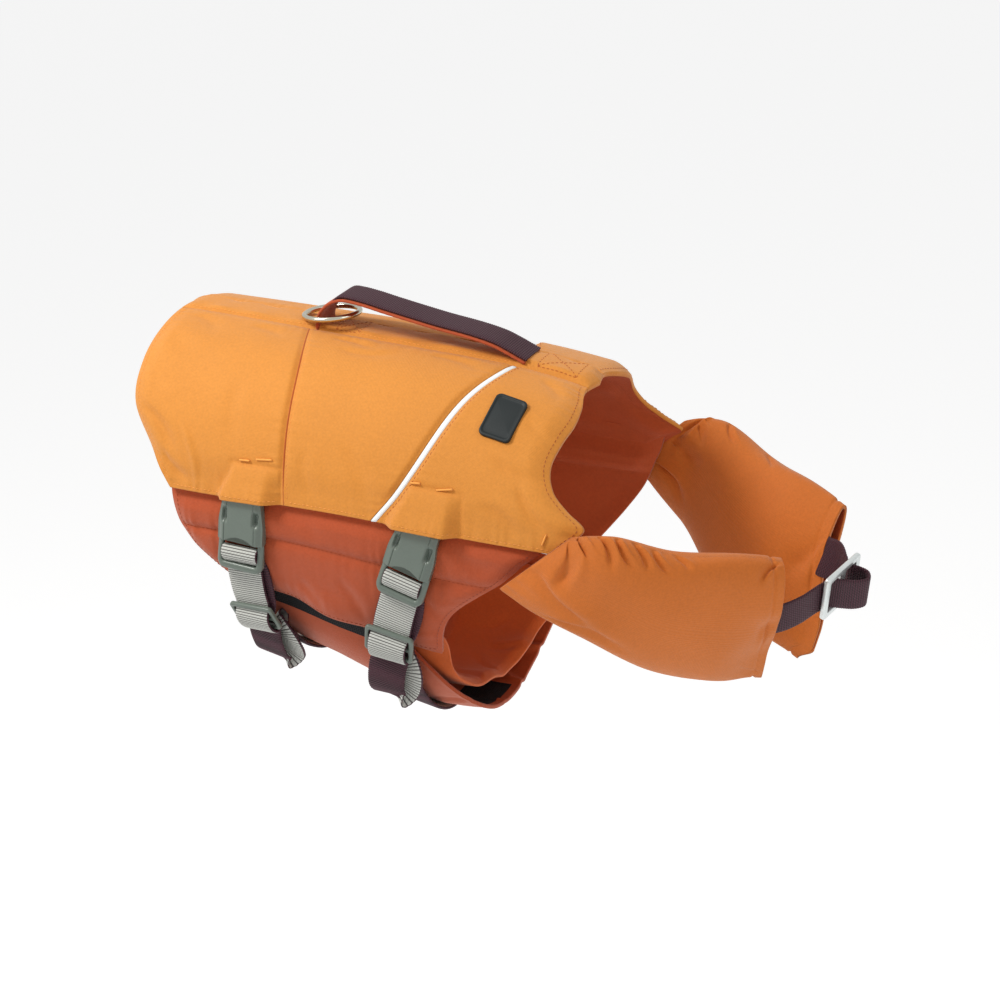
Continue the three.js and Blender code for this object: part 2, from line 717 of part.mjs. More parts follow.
// The latch half, a frame whose window shows the webbing that turns inside it
function buckleLatch(name, matrix) {
  const shape = roundedRectangle(BUCKLE.width, BUCKLE.latch, 3);
  const window = roundedRectangle(WEBBING_WIDTH + 1, BUCKLE.window, 0.8, THREE.Path);
  shape.holes.push(new THREE.Path(window.getPoints(3).map((p) => p.add(new THREE.Vector2(0, 1.6)))));
  const mesh = addMesh(name, plate(shape, BUCKLE.frame, 0.8), GREY_PLASTIC, 0, 0.5);
  mesh.applyMatrix4(matrix);
}

// A ladder slider: a rounded frame with a bar across its middle
function slider(name, matrix, size, color, metalness) {
  const shape = roundedRectangle(size.width, size.height, 2.5);
  const slot = (size.height - 3 * size.bar) / 2;
  for (const sign of [-1, 1]) {
    const hole = roundedRectangle(size.width - 2 * size.bar, slot, 0.8, THREE.Path);
    const rise = sign * (size.bar + slot) / 2;
    shape.holes.push(new THREE.Path(hole.getPoints(3).map((p) => p.add(new THREE.Vector2(0, rise)))));
  }
  const mesh = addMesh(name, plate(shape, size.thick, 0.6), color, metalness, 0.45);
  mesh.applyMatrix4(matrix);
}

// The angle at each distance down a strap's line, which starts a little above the hem
function strapAngle(line, down) {
  let angle = HEM_ANGLE;
  const step = down < STRAP_RISE ? -0.5 : 0.5;
  const count = Math.round((down - STRAP_RISE) / step);
  for (let i = 0; i < count; i += 1) {
    const x = fromTable(line, "down", "x", STRAP_RISE + i * step);
    const perDegree = torso(x, angle + 0.5).distanceTo(torso(x, angle - 0.5));
    angle += step / perDegree;
  }
  return angle;
}

// One buckle with its webbing, slider and the end that goes on under the belly
function bellyStrap(word, line) {
  const at = (down, lift) => lifted(fromTable(line, "down", "x", down), -strapAngle(line, down), lift);
  const normal = (down) => outward(fromTable(line, "down", "x", down), -strapAngle(line, down));
  const sideways = (down) => normal(down).cross(at(down - 2, 0).sub(at(down + 2, 0))).negate().normalize();
  const hard = (down, lift) => {
    const outwardAxis = normal(down);
    const alongAxis = sideways(down);
    const up = outwardAxis.clone().cross(alongAxis);
    return new THREE.Matrix4().makeBasis(alongAxis, up, outwardAxis).setPosition(at(down, lift));
  };
  buckleSocket(`buckle_socket_${word}`, hard(BUCKLE.socketDown, BUCKLE.lift));
  buckleLatch(`buckle_latch_${word}`, hard(BUCKLE.latchDown, BUCKLE.latchLift));
  slider(`strap_slider_${word}`, hard(SLIDER.down, SLIDER.lift), SLIDER, GREY_PLASTIC, 0);
  const path = STRAP_PATH.map((p) => at(p.down, p.lift));
  const across = STRAP_PATH.map((p) => sideways(p.down));
  webbing(`belly_strap_${word}`, path, across, WEBBING_WIDTH, WEBBING_THICK, GREY_WEBBING);
}

function rootOnSpine(x) {
  return torso(x, 0).z + SPINE_TOP;
}

// The carrying handle: webbing over a padded lining, both sewn to the spine band
function handle() {
  const across = new THREE.Vector3(0, 1, 0);
  const rows = HANDLE.map((row) => new THREE.Vector3(row.x, 0, rootOnSpine(row.x) + row.rise));
  const raised = rows.map((point, i) => {
    const next = rows[Math.min(i + 1, rows.length - 1)];
    const before = rows[Math.max(i - 1, 0)];
    const along = next.clone().sub(before).normalize();
    return point.clone().addScaledVector(along.clone().cross(across), HANDLE_LAYER + SEAM_GAP);
  });
  const directions = rows.map(() => across);
  webbing("handle_lining", rows, directions, HANDLE_WIDTH, HANDLE_LAYER, RUST);
  webbing("handle_webbing", raised, directions, HANDLE_WIDTH - 1, HANDLE_LAYER, PURPLE);
}

// The ring lies flat round the rear root of the handle
function leadRing() {
  const ring = new THREE.TorusGeometry(LEAD_RING.radius, LEAD_RING.wire / 2, 8, 28);
  ring.scale(LEAD_RING.long, 1, 1);
  const mesh = addMesh("lead_ring", ring, PALE_METAL, 0.9, 0.3);
  mesh.position.set(LEAD_RING.x, 0, rootOnSpine(LEAD_RING.x) + LEAD_RING.rise);
  mesh.rotation.y = LEAD_RING.lean;
}

// The bare patch on the right shoulder
function patch() {
  const turned = THREE.MathUtils.degToRad(PATCH.tilt);
  const place = (u, v) => {
    const a = (u - 0.5) * PATCH.width;
    const b = (v - 0.5) * PATCH.height;
    const x = PATCH.x + a * Math.cos(turned) + b * Math.sin(turned);
    const around = -a * Math.sin(turned) + b * Math.cos(turned);
    const angle = -PATCH.angle + around / PATCH.millimetresPerDegree;
    return {
      inner: lifted(x, angle, PATCH.lift),
      outer: lifted(x, angle, PATCH.lift + PATCH.thick),
    };
  };
  wall("patch", place, [0, 0.25, 0.5, 0.75, 1], [0, 0.17, 0.33, 0.5, 0.67, 0.83, 1], BLACK);
}

function sleeveUpright(side) {
  return collarEdge(side, 1, "top").sub(collarEdge(side, 1, "low")).normalize();
}

// Two points of the strap at the bottom of a sleeve, the deepest first
function sleeveSeat(side, up) {
  const path = collarDirection(side, 1);
  const start = collarMiddle(side, 1).addScaledVector(sleeveUpright(side), up);
  // The sleeve's bottom leans to the strap's width by this much
  const slant = Math.abs(sleeveUpright(side).dot(path));
  const lean = ((WEBBING_WIDTH / 2) * slant) / Math.sqrt(1 - slant * slant);
  const deepest = SLEEVE_DEPTH - SLEEVE_SEAT.gap - lean;
  return [deepest, deepest - SLEEVE_SEAT.straight].map((deep) => start.clone().addScaledVector(path, -deep));
}

// The strap that joins the two neck floats at the throat, and its slider
function collarStrap() {
  const upward = COLLAR_SLIDER.upright.clone().normalize();
  const along = COLLAR_SLIDER.along.clone().addScaledVector(upward, -COLLAR_SLIDER.along.dot(upward)).normalize();
  const forward = along.clone().cross(upward).normalize();
  const matrix = new THREE.Matrix4().makeBasis(upward.clone().negate(), along, forward);
  matrix.setPosition(COLLAR_SLIDER.middle);
  slider("collar_slider", matrix, COLLAR_SLIDER, PALE_METAL, 0.7);
  const leftUpright = new THREE.Vector3(upward.x, -upward.y, upward.z);
  const path = COLLAR_STRAP.map((p) => new THREE.Vector3(p.x, p.y, p.z));
  const across = COLLAR_STRAP.map((p) => upward.clone().lerp(leftUpright, p.twist).normalize());
  path.unshift(...sleeveSeat(RIGHT, SLEEVE_SEAT.rightUp));
  across.unshift(sleeveUpright(RIGHT), sleeveUpright(RIGHT));
  path.push(...sleeveSeat(LEFT, SLEEVE_SEAT.leftUp).reverse());
  across.push(sleeveUpright(LEFT), sleeveUpright(LEFT));
  webbing("collar_strap", path, across, WEBBING_WIDTH, WEBBING_THICK, PURPLE);
}

upperPanels();
spineBand();
sideFlap("side_flap_right", RIGHT, RIGHT_FLAP);
sideFlap("side_flap_left", LEFT, LEFT_FLAP);
bellyPanel();
bellyPad();
collarFloat("collar_float_right", RIGHT);
collarFloat("collar_float_left", LEFT);
bellyStrap("rear", REAR_STRAP);
bellyStrap("front", FRONT_STRAP);
handle();
leadRing();
patch();
collarStrap();

export default part;
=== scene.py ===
import math

import bmesh
import bpy
import numpy as np
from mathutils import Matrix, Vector


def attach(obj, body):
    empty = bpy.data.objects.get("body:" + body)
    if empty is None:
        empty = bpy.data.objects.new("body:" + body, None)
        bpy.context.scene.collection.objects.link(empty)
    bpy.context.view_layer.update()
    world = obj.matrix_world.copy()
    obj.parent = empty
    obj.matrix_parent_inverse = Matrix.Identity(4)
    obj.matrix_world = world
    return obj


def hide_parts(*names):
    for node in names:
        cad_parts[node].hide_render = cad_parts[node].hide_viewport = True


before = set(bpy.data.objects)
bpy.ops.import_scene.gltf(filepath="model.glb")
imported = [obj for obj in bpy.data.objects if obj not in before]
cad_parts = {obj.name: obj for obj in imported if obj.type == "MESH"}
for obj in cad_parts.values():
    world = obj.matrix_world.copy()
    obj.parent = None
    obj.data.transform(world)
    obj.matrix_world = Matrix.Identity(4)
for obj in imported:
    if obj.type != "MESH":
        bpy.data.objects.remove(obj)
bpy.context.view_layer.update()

# Sizes are in millimetres, as in the part's source, and meshes are made in metres
MM = 0.001
RIGHT = -1
LEFT = 1
WEBBING_WIDTH = 25
WEBBING_THICK = 1.6
SEAM_GAP = 0.4
FOAM = 8.5
FLAP_FOAM = 6.5
FLAP_EDGE = 2.6
PINCHED = 3
SPINE_ANGLE = 8
HEM_ANGLE = 83
SQUARENESS = 0.01
HEM_CLEARANCE = 3.6
PIPING_WIDTH = 4


def table(columns, *rows):
    names = columns.split()
    return {name: np.array([row[i] for row in rows], float) for i, name in enumerate(names)}


# The torso and the panels' seams, as in the part's source
TORSO = table(
    "x half top widest bottom",
    (-150, 80, 6, -96, -184), (-90, 86, 4, -95, -188), (-45, 89, 2, -93, -197), (0, 91, 0, -92, -214),
    (45, 92, -2, -93, -227), (90, 93, -5, -94, -225), (135, 93, -12, -94, -216),
    (180, 92, -20, -94, -203),
)
REAR_EDGE = table("angle x", (0, -140), (20, -144), (40, -147), (56, -145), (68, -132), (83, -112))
WAIST_SEAM = table("angle x", (0, -56), (15, -48), (35, -39), (60, -34), (83, -31))
PIPING_LINE = table("angle x", (0, 90), (15, 82), (36, 69), (57, 56), (72, 43), (83, 29))
NECK_EDGE = table(
    "angle x",
    (0, 136), (10, 133), (20, 137), (30, 138), (40, 135), (51, 133),
    (60, 138), (66, 148), (72, 160), (78, 152), (83, 144),
)
RIGHT_FLAP = table(
    "down rear front",
    (0, -113, 144), (0.2, -113, 132), (0.42, -109, 111), (0.54, -104, 94), (0.66, -98, 79),
    (0.8, -87, 70), (1, -70, 66),
)
LEFT_FLAP = table(
    "down rear front",
    (0, -113, 148), (0.2, -113, 144), (0.45, -108, 135), (0.62, -100, 124), (0.8, -87, 110), (1, -70, 94),
)
FLAP_TOP_ANGLE = 77
GAPE = {"rear": -36, "front": 23, "lift": 4.5}
FLAP_LOW_ANGLE = table("along angle", (0, 119), (0.3, 118), (0.6, 119.5), (1, 122))
BELLY = table(
    "around rear front drop",
    (0, -64, 30, -4.6), (0.1, -62, 39, -3.4), (0.2, -58, 60, 1.2), (0.35, -54, 76, 3.4),
    (0.5, -52, 79, 3.7), (0.7, -54, 80, 2.4), (0.88, -62, 87, 0.6), (1, -70, 94, 0),
)
BELLY_THICK = 3.2
BELLY_START = -109
SEAM_EASE = 0.3
BELLY_PAD = table(
    "around rear front gap",
    (0.05, 30, 58, 1), (0.12, 26, 64, 1.2), (0.2, 23, 68, 3), (0.3, 21, 71, 8), (0.42, 20, 74, 12.5),
    (0.58, 18, 77, 12.5), (0.74, 18, 80, 8), (0.88, 18, 85, 3), (0.96, 18, 89, 0.8),
)
PAD_THICK = 4
COLLAR = table(
    "along topX topY topZ lowX lowY lowZ thick",
    (0, 157, -107, -68, 112, -105, -108, 7), (0.1, 169, -108, -65, 132, -104, -119, 14),
    (0.25, 186, -104, -65, 161, -95, -133, 23), (0.5, 215, -88, -76, 192, -66, -160, 29),
    (0.78, 244, -67, -81, 227, -35, -175, 30), (1, 268, -49, -87, 249, -18, -179, 27),
)
LEFT_REACH = 11
ROOT_INWARD = {RIGHT: 2.9, LEFT: 1.8}
SLEEVE_WALL = 2.5
SLEEVE_DEPTH = 20


def from_table(rows, key, column, at):
    """A smooth value from a table's column, at a place in its first column."""
    keys, values = rows[key], rows[column]
    at = np.clip(at, keys[0], keys[-1])
    i = np.clip(np.searchsorted(keys, at, side="right") - 1, 0, len(keys) - 2)
    before = np.maximum(np.arange(len(keys)) - 1, 0)
    after = np.minimum(np.arange(len(keys)) + 1, len(keys) - 1)
    slope = (values[after] - values[before]) / (keys[after] - keys[before])
    span = keys[i + 1] - keys[i]
    t = (at - keys[i]) / span
    start = values[i] * (2 * t**3 - 3 * t**2 + 1) + slope[i] * span * (t**3 - 2 * t**2 + t)
    return start + values[i + 1] * (3 * t**2 - 2 * t**3) + slope[i + 1] * span * (t**3 - t**2)


def smooth(low, high, at):
    t = np.clip((at - low) / (high - low), 0, 1)
    return t * t * (3 - 2 * t)


def edge_at(rows, angle):
    return from_table(rows, "angle", "x", np.abs(angle))


def torso(x, angle):
    """A point of the torso: 0 degrees at the spine, negative on the right side, 180 at the belly."""
    x, angle = np.broadcast_arrays(np.asarray(x, float), np.asarray(angle, float))
    turn = np.radians(angle)
    across = (np.sin(turn) + SQUARENESS * np.sin(3 * turn)) / (1 - SQUARENESS)
    upward = (np.cos(turn) - SQUARENESS * np.cos(3 * turn)) / (1 - SQUARENESS)
    widest = from_table(TORSO, "x", "widest", x)
    above = from_table(TORSO, "x", "top", x) - widest
    below = widest - from_table(TORSO, "x", "bottom", x)
    reach = np.where(upward > 0, above, below)
    return np.stack([x, from_table(TORSO, "x", "half", x) * across, widest + reach * upward], -1)


def unit(v):
    return v / np.maximum(np.linalg.norm(v, axis=-1, keepdims=True), 1e-9)


def outward(x, angle):
    along = torso(x + 0.5, angle) - torso(x - 0.5, angle)
    around = torso(x, angle + 0.25) - torso(x, angle - 0.25)
    return unit(np.cross(along, around))


def lifted(x, angle, lift):
    return torso(x, angle) + outward(x, angle) * np.asarray(lift)[..., None]


# Materials

def material(name):
    made = bpy.data.materials.new(name)
    made.use_nodes = True
    tree = made.node_tree
    return made, tree.nodes, tree.links, tree.nodes["Principled BSDF"]


def maths(nodes, links, operation, a, b):
    node = nodes.new("ShaderNodeMath")
    node.operation = operation
    for socket, value in zip(node.inputs, (a, b)):
        if isinstance(value, (int, float)):
            socket.default_value = value
        else:
            links.new(value, socket)
    return node.outputs[0]


def two_tone(nodes, links, bsdf, height, dark, light, low=0.3, high=0.7):
    """Colour between two tones, by a height from 0 to 1."""
    ramp = nodes.new("ShaderNodeValToRGB")
    for element, position, color in zip(ramp.color_ramp.elements, (low, high), (dark, light)):
        element.position = position
        element.color = (*[min(1, c) for c in color], 1)
    links.new(height, ramp.inputs["Fac"])
    links.new(ramp.outputs["Color"], bsdf.inputs["Base Color"])


def mottled(nodes, links, bsdf, color, amount, coarse, fine):
    """Colour that drifts a little in patches, with a fine grain."""
    place = nodes.new("ShaderNodeTexCoord").outputs["Object"]
    drift = noise_height(nodes, links, place, coarse)
    grain = noise_height(nodes, links, place, fine, 1)
    blend = maths(nodes, links, "MULTIPLY", maths(nodes, links, "ADD", drift, grain), 0.5)
    two_tone(nodes, links, bsdf, blend, [c * (1 - amount) for c in color], [c * (1 + amount) for c in color])
    return place


def bump(nodes, links, bsdf, height, distance, strength=1.0, below=None):
    node = nodes.new("ShaderNodeBump")
    node.inputs["Strength"].default_value = strength
    node.inputs["Distance"].default_value = distance
    links.new(height, node.inputs["Height"])
    if below is not None:
        links.new(below, node.inputs["Normal"])
    links.new(node.outputs["Normal"], bsdf.inputs["Normal"])
    return node.outputs["Normal"]


def noise_height(nodes, links, place, scale, detail=3.0):
    noise = nodes.new("ShaderNodeTexNoise")
    noise.inputs["Scale"].default_value = scale
    noise.inputs["Detail"].default_value = detail
    links.new(place, noise.inputs["Vector"])
    return noise.outputs["Fac"]


def weave_height(nodes, links, pitch):
    """Crossing threads, a pitch apart in metres, from the mesh's UVs, which are in metres."""
    place = nodes.new("ShaderNodeTexCoord").outputs["UV"]
    waves = []
    for direction in ("X", "Y"):
        wave = nodes.new("ShaderNodeTexWave")
        wave.bands_direction = direction
        wave.inputs["Scale"].default_value = math.pi / 10 / pitch
        wave.inputs["Distortion"].default_value = 0.4
        links.new(place, wave.inputs["Vector"])
        waves.append(wave.outputs["Fac"])
    return maths(nodes, links, "MAXIMUM", waves[0], waves[1])


def fabric(name, color, pitch=0.0009, depth=0.00012, roughness=0.7, sheen=0.2, mottle=0.08, crumple=0.0003):
    made, nodes, links, bsdf = material(name)
    place = mottled(nodes, links, bsdf, color, mottle, 12, 650)
    bsdf.inputs["Roughness"].default_value = roughness
    bsdf.inputs["Specular IOR Level"].default_value = 0.35
    bsdf.inputs["Sheen Weight"].default_value = sheen
    bsdf.inputs["Sheen Roughness"].default_value = 0.5
    soft = bump(nodes, links, bsdf, noise_height(nodes, links, place, 55), crumple)
    bump(nodes, links, bsdf, weave_height(nodes, links, pitch), depth, 1.0, soft)
    return made


def webbing_cloth(name, thread, between, pitch):
    """Webbing whose ribs run across it, a pitch apart in metres, with painted shade darkening the gaps
    between them.
    """
    made, nodes, links, bsdf = material(name)
    uv = nodes.new("ShaderNodeTexCoord").outputs["UV"]
    wave = nodes.new("ShaderNodeTexWave")
    wave.bands_direction = "X"
    wave.inputs["Scale"].default_value = math.pi / 10 / pitch
    links.new(uv, wave.inputs["Vector"])
    fine = nodes.new("ShaderNodeTexWave")
    fine.bands_direction = "DIAGONAL"
    fine.inputs["Scale"].default_value = math.pi / 10 / 0.0011
    links.new(uv, fine.inputs["Vector"])
    # The darker colour in the gaps between the ribs is painted shade in the grooves
    two_tone(nodes, links, bsdf, wave.outputs["Fac"], between, thread, 0.02, 0.4)
    bsdf.inputs["Roughness"].default_value = 0.6
    bsdf.inputs["Sheen Weight"].default_value = 0.06
    bump(nodes, links, bsdf, fine.outputs["Fac"], 0.00015)
    return made


def moulded(name, color, roughness, metallic=0.0, grain=0.00003):
    made, nodes, links, bsdf = material(name)
    place = mottled(nodes, links, bsdf, color, 0.05, 60, 900)
    bsdf.inputs["Roughness"].default_value = roughness
    bsdf.inputs["Metallic"].default_value = metallic
    bump(nodes, links, bsdf, noise_height(nodes, links, place, 900), grain)
    return made


def srgb(code):
    """A linear colour from its six hex digits."""
    values = [int(code[i:i + 2], 16) / 255 for i in (0, 2, 4)]
    return [v / 12.92 if v <= 0.04045 else ((v + 0.055) / 1.055) ** 2.4 for v in values]


GREY_RIB = 1.55
PLUM_RIB = 1.4
ORANGE = fabric("orange_cloth", srgb("d48d3b"), roughness=0.62)
# The floats use the body's orange cloth in a darker, more saturated colour: painted shade for the floats
SHADED_FLOAT_ORANGE = fabric("float_cloth_painted_shade", srgb("c8722b"), roughness=0.62)
RUST = fabric("rust_cloth", srgb("af532e"), sheen=0.25, roughness=0.75)
DARK_RUST = fabric("dark_rust_lining", srgb("b5562a"), sheen=0.1)
DARK_ORANGE = fabric("dark_orange_cloth", srgb("c9642a"), sheen=0.2)
# Black mesh, also used inside the belly panel's front as partly painted shade
BLACK_MESH_AND_SHADE = fabric("black_mesh_and_shade", srgb("1b1a1c"), pitch=0.0016, depth=0.0004, sheen=0.05)
REFLECTIVE = fabric("reflective_tape", srgb("eef3f5"), pitch=0.0011, roughness=0.35, sheen=0.0, mottle=0.03)
# Each webbing's second, darker colour is painted shade for the gaps between its ribs
PURPLE = webbing_cloth("plum_webbing", srgb("4e2935"), srgb("1f0d14"), PLUM_RIB * MM)
GREY_WEBBING = webbing_cloth("grey_webbing", srgb("bfc0ba"), srgb("55524f"), GREY_RIB * MM)
ORANGE_THREAD = fabric("orange_thread", srgb("eda552"), pitch=0.0004, crumple=0.0001)
DARK_THREAD = fabric("seam_thread", srgb("b05c2b"), pitch=0.0004, crumple=0.0001)
RUST_THREAD = fabric("rust_thread", srgb("98431f"), pitch=0.0004, crumple=0.0001)
PLASTIC = moulded("grey_plastic", srgb("6e776f"), 0.3)
RUBBER = moulded("black_rubber", srgb("252b2c"), 0.55)
ALUMINIUM = moulded("pale_aluminium", srgb("dfe4e3"), 0.34, 0.6)
RING_METAL = moulded("ring_metal", srgb("d6d3c4"), 0.2, 1.0, 0.000008)


# Meshes

def add_piece(name, points, faces, materials, face_materials=None, uvs=None, replaces=()):
    """A mesh piece in metres from points in millimetres, with its faces turned outward."""
    mesh = bpy.data.meshes.new(name)
    mesh.from_pydata((np.asarray(points) * MM).tolist(), [], [list(map(int, f)) for f in faces])
    for slot in materials:
        mesh.materials.append(slot)
    if face_materials is not None:
        mesh.polygons.foreach_set("material_index", np.asarray(face_materials, np.int32))
    if uvs is not None:
        layer = mesh.uv_layers.new(name="UVMap")
        index = np.zeros(len(mesh.loops), np.int32)
        mesh.loops.foreach_get("vertex_index", index)
        layer.data.foreach_set("uv", (np.asarray(uvs)[index] * MM).ravel())
    mesh.polygons.foreach_set("use_smooth", np.ones(len(mesh.polygons), bool))
    work = bmesh.new()
    work.from_mesh(mesh)
    bmesh.ops.recalc_face_normals(work, faces=work.faces)
    work.to_mesh(mesh)
    work.free()
    piece = bpy.data.objects.new(name, mesh)
    bpy.context.scene.collection.objects.link(piece)
    return settle(piece, replaces)


def settle(piece, replaces):
    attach(piece, "root")
    if replaces:
        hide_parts(*replaces)
    return piece


def crowded(count, crowd=0.55):
    """Steps from 0 to 1 that lie closer together at both ends."""
    t = np.linspace(0, 1, count)
    return (1 - crowd) * t + crowd * (0.5 - 0.5 * np.cos(np.pi * t))


def wall(name, inner, outer, materials, replaces, zones=None, inner_zones=None):
    """A closed wall between two grids of points; its outer, inner and rim faces each have a material."""
    rows, columns = inner.shape[:2]
    count = rows * columns
    grid = np.arange(count).reshape(rows, columns)
    quads = np.stack([grid[:-1, :-1], grid[1:, :-1], grid[1:, 1:], grid[:-1, 1:]], -1).reshape(-1, 4)
    rim = np.concatenate([grid[:, 0], grid[-1, 1:], grid[-2::-1, -1], grid[0, -2:0:-1]])
    following = np.roll(rim, -1)
    sides = np.stack([rim, following, following + count, rim + count], -1)
    faces = np.concatenate([quads + count, quads[:, ::-1], sides])
    kinds = np.concatenate([
        np.zeros(len(quads), int) if zones is None else zones.ravel(),
        np.full(len(quads), 1) if inner_zones is None else inner_zones.ravel(),
        np.full(len(sides), 2),
    ])
    along = np.linalg.norm(np.diff(outer, axis=0), axis=-1)
    across = np.linalg.norm(np.diff(outer, axis=1), axis=-1)
    u = np.concatenate([np.zeros((1, columns)), np.cumsum(along, 0)])
    v = np.concatenate([np.zeros((rows, 1)), np.cumsum(across, 1)], 1)
    uv = np.stack([u, v], -1).reshape(-1, 2)
    points = np.concatenate([inner.reshape(-1, 3), outer.reshape(-1, 3)])
    return add_piece(name, points, faces, materials, kinds, np.concatenate([uv, uv]), replaces)


def tube_faces(rings, sides, closed=False):
    grid = np.arange(rings * sides).reshape(rings, sides)
    turned = np.roll(grid, -1, axis=1)
    if closed:
        ahead, ahead_turned = np.roll(grid, -1, axis=0), np.roll(turned, -1, axis=0)
        return np.stack([grid, turned, ahead_turned, ahead], -1).reshape(-1, 4).tolist()
    faces = np.stack([grid[:-1], turned[:-1], turned[1:], grid[1:]], -1).reshape(-1, 4).tolist()
    return faces + [grid[0].tolist(), grid[-1].tolist()]


# Creases: two ends on the panels, a width and a depth, which is negative for a ridge
CREASES = table(
    "side x0 angle0 x1 angle1 wide deep",
    (RIGHT, -136, 57, -108, 72, 7, 1.6), (RIGHT, -118, 71, -96, 80, 6, 1.4),
    (RIGHT, -104, 62, -92, 80, 5, -1.0), (RIGHT, -140, 36, -122, 50, 10, 0.9),
    (RIGHT, -126, 14, -104, 22, 9, 0.8), (RIGHT, -132, 28, -90, 36, 12, 0.7),
    (RIGHT, -84, 15, -62, 18, 7, 0.8), (RIGHT, -74, 44, -66, 66, 11, 0.7),
    (RIGHT, -30, 13, -2, 16, 5, 0.9), (RIGHT, -20, 20, 14, 17, 6, 0.7), (RIGHT, 6, 60, 26, 78, 10, 0.9),
    (RIGHT, -20, 64, -12, 79, 9, 0.7), (RIGHT, 36, 13, 70, 17, 6, 0.8), (RIGHT, 100, 54, 132, 58, 8, 1.1),
    (RIGHT, 98, 70, 124, 80, 8, 1.3), (RIGHT, 118, 62, 142, 76, 6, 1.3),
    (RIGHT, 108, 14, 126, 24, 8, 0.9), (RIGHT, 112, 36, 130, 42, 8, 0.7),
    (LEFT, -132, 52, -104, 70, 8, 1.5), (LEFT, -112, 68, -96, 80, 6, 1.3),
    (LEFT, -138, 33, -118, 44, 10, 0.9), (LEFT, -88, 16, -64, 20, 7, 0.8),
    (LEFT, -72, 40, -60, 62, 12, 0.8), (LEFT, -24, 15, 4, 18, 6, 0.9), (LEFT, 10, 62, 22, 79, 9, 0.9),
    (LEFT, -16, 60, -22, 78, 9, 0.7), (LEFT, 40, 14, 66, 18, 6, 0.8), (LEFT, 102, 50, 130, 56, 8, 1.0),
    (LEFT, 94, 68, 122, 79, 8, 1.3), (LEFT, 116, 64, 140, 77, 6, 1.2),
)
FLAP_CREASES = table(
    "side x0 angle0 x1 angle1 wide deep",
    (RIGHT, -30, 88, -6, 92, 8, 0.9), (RIGHT, -78, 102, -60, 112, 7, 0.8),
    (RIGHT, 4, 104, 20, 117, 8, 0.9), (RIGHT, 78, 88, 116, 92, 8, 1.0), (RIGHT, 96, 86, 128, 88, 6, -0.8),
    (RIGHT, 60, 103, 80, 110, 7, 0.8), (RIGHT, -24, 108, -8, 118, 7, 0.7),
    (LEFT, -60, 90, -30, 95, 9, 0.9), (LEFT, 10, 102, 34, 116, 8, 0.9), (LEFT, 70, 90, 112, 96, 9, 1.1),
    (LEFT, -84, 104, -58, 112, 7, 0.8), (LEFT, 82, 104, 100, 114, 7, 0.9),
)
MM_PER_DEGREE = 1.62


def crease_relief(creases, side, x, angle, scale=(1, MM_PER_DEGREE)):
    """How far the creases lower the cloth on one side; the scale turns both columns to millimetres."""
    total = np.zeros(np.broadcast(x, angle).shape)
    x, around = x * scale[0], angle * scale[1]
    for k in np.flatnonzero(creases["side"] == side):
        start = np.array([creases["x0"][k], creases["angle0"][k]]) * scale
        end = np.array([creases["x1"][k], creases["angle1"][k]]) * scale
        run = end - start
        length = np.hypot(*run)
        t = ((x - start[0]) * run[0] + (around - start[1]) * run[1]) / length**2
        bend = 0.08 * length * np.sin(np.pi * np.clip(t, 0, 1)) * (-1) ** k
        off = ((x - start[0]) * run[1] - (around - start[1]) * run[0]) / length - bend
        wide = creases["wide"][k] * (0.35 + 0.25 * np.clip(t, 0, 1))
        taper = smooth(-0.15, 0.25, t) * (1 - smooth(0.6, 1.15, t))
        trough = np.exp(-((off / wide) ** 2)) - 0.35 * np.exp(-((off / wide - 2) ** 2))
        total -= creases["deep"][k] * taper * trough
    return total


def puckers(distance, along, seed, spacing=7.0, reach=9.0, depth=0.35):
    """Little ripples that run into a seam, uneven in spacing and depth."""
    turn = along / spacing * 2 * np.pi
    wobble = np.sin(turn / 2.7 + seed) + 0.6 * np.sin(turn / 6.1 + 2 * seed)
    ripple = np.sin(turn + 1.6 * wobble)
    strength = 0.6 + 0.4 * np.sin(along / 23 + 3 * seed)
    return depth * ripple * strength * np.exp(-distance / reach) * smooth(0, 2, distance)


# The lining's padding runs on past the hem, inside, down to a seam on each flap
INNER_PAD = {"low": 94, "thick": 2.4, "bulge": 3.4, "top": -0.09}

# The hem's pocket over each buckle: where it rises and falls along the hem, its top and its height
POCKETS = table(
    "rear rearFlat frontFlat front top rise lean",
    (-78, -70, -44, -33, 70.5, 7.6, 10), (35, 46, 76, 85, 68, 8.2, 14),
)


def pocket_rise(side, x, angle):
    """How far the hem's pockets stand off over the buckles."""
    total = np.zeros(np.broadcast(x, angle).shape)
    if side == LEFT:
        return total
    down = np.abs(angle)
    for rear, rear_flat, front_flat, front, top, rise, lean in zip(*POCKETS.values()):
        share = smooth(top, HEM_ANGLE, down)
        rear_edge = rear + lean * (1 - share)
        rear_slope = smooth(rear_edge, rear_flat + lean * (1 - share) * 0.6, x)
        shape = rear_slope * (1 - smooth(front_flat, front, x))
        total += rise * shape * np.clip((down - top) / (HEM_ANGLE - 1.5 - top), 0, 1) ** 0.85
    return total


def pocket_stitch(side, x, angle):
    """The dip along the pockets' stitched tops and front sides."""
    total = np.zeros(np.broadcast(x, angle).shape)
    if side == LEFT:
        return total
    down = np.abs(angle)
    for rear, _, _, front, top, _, lean in zip(*POCKETS.values()):
        inside = smooth(rear + lean - 2, rear + lean + 1, x) * (1 - smooth(front - 1, front + 2, x))
        top_line = np.exp(-(((down - top) * MM_PER_DEGREE / 1.3) ** 2)) * inside
        front_line = np.exp(-(((x - front) / 1.2) ** 2)) * smooth(top - 1, top + 1, down)
        total -= 0.9 * np.maximum(top_line, front_line)
    return total


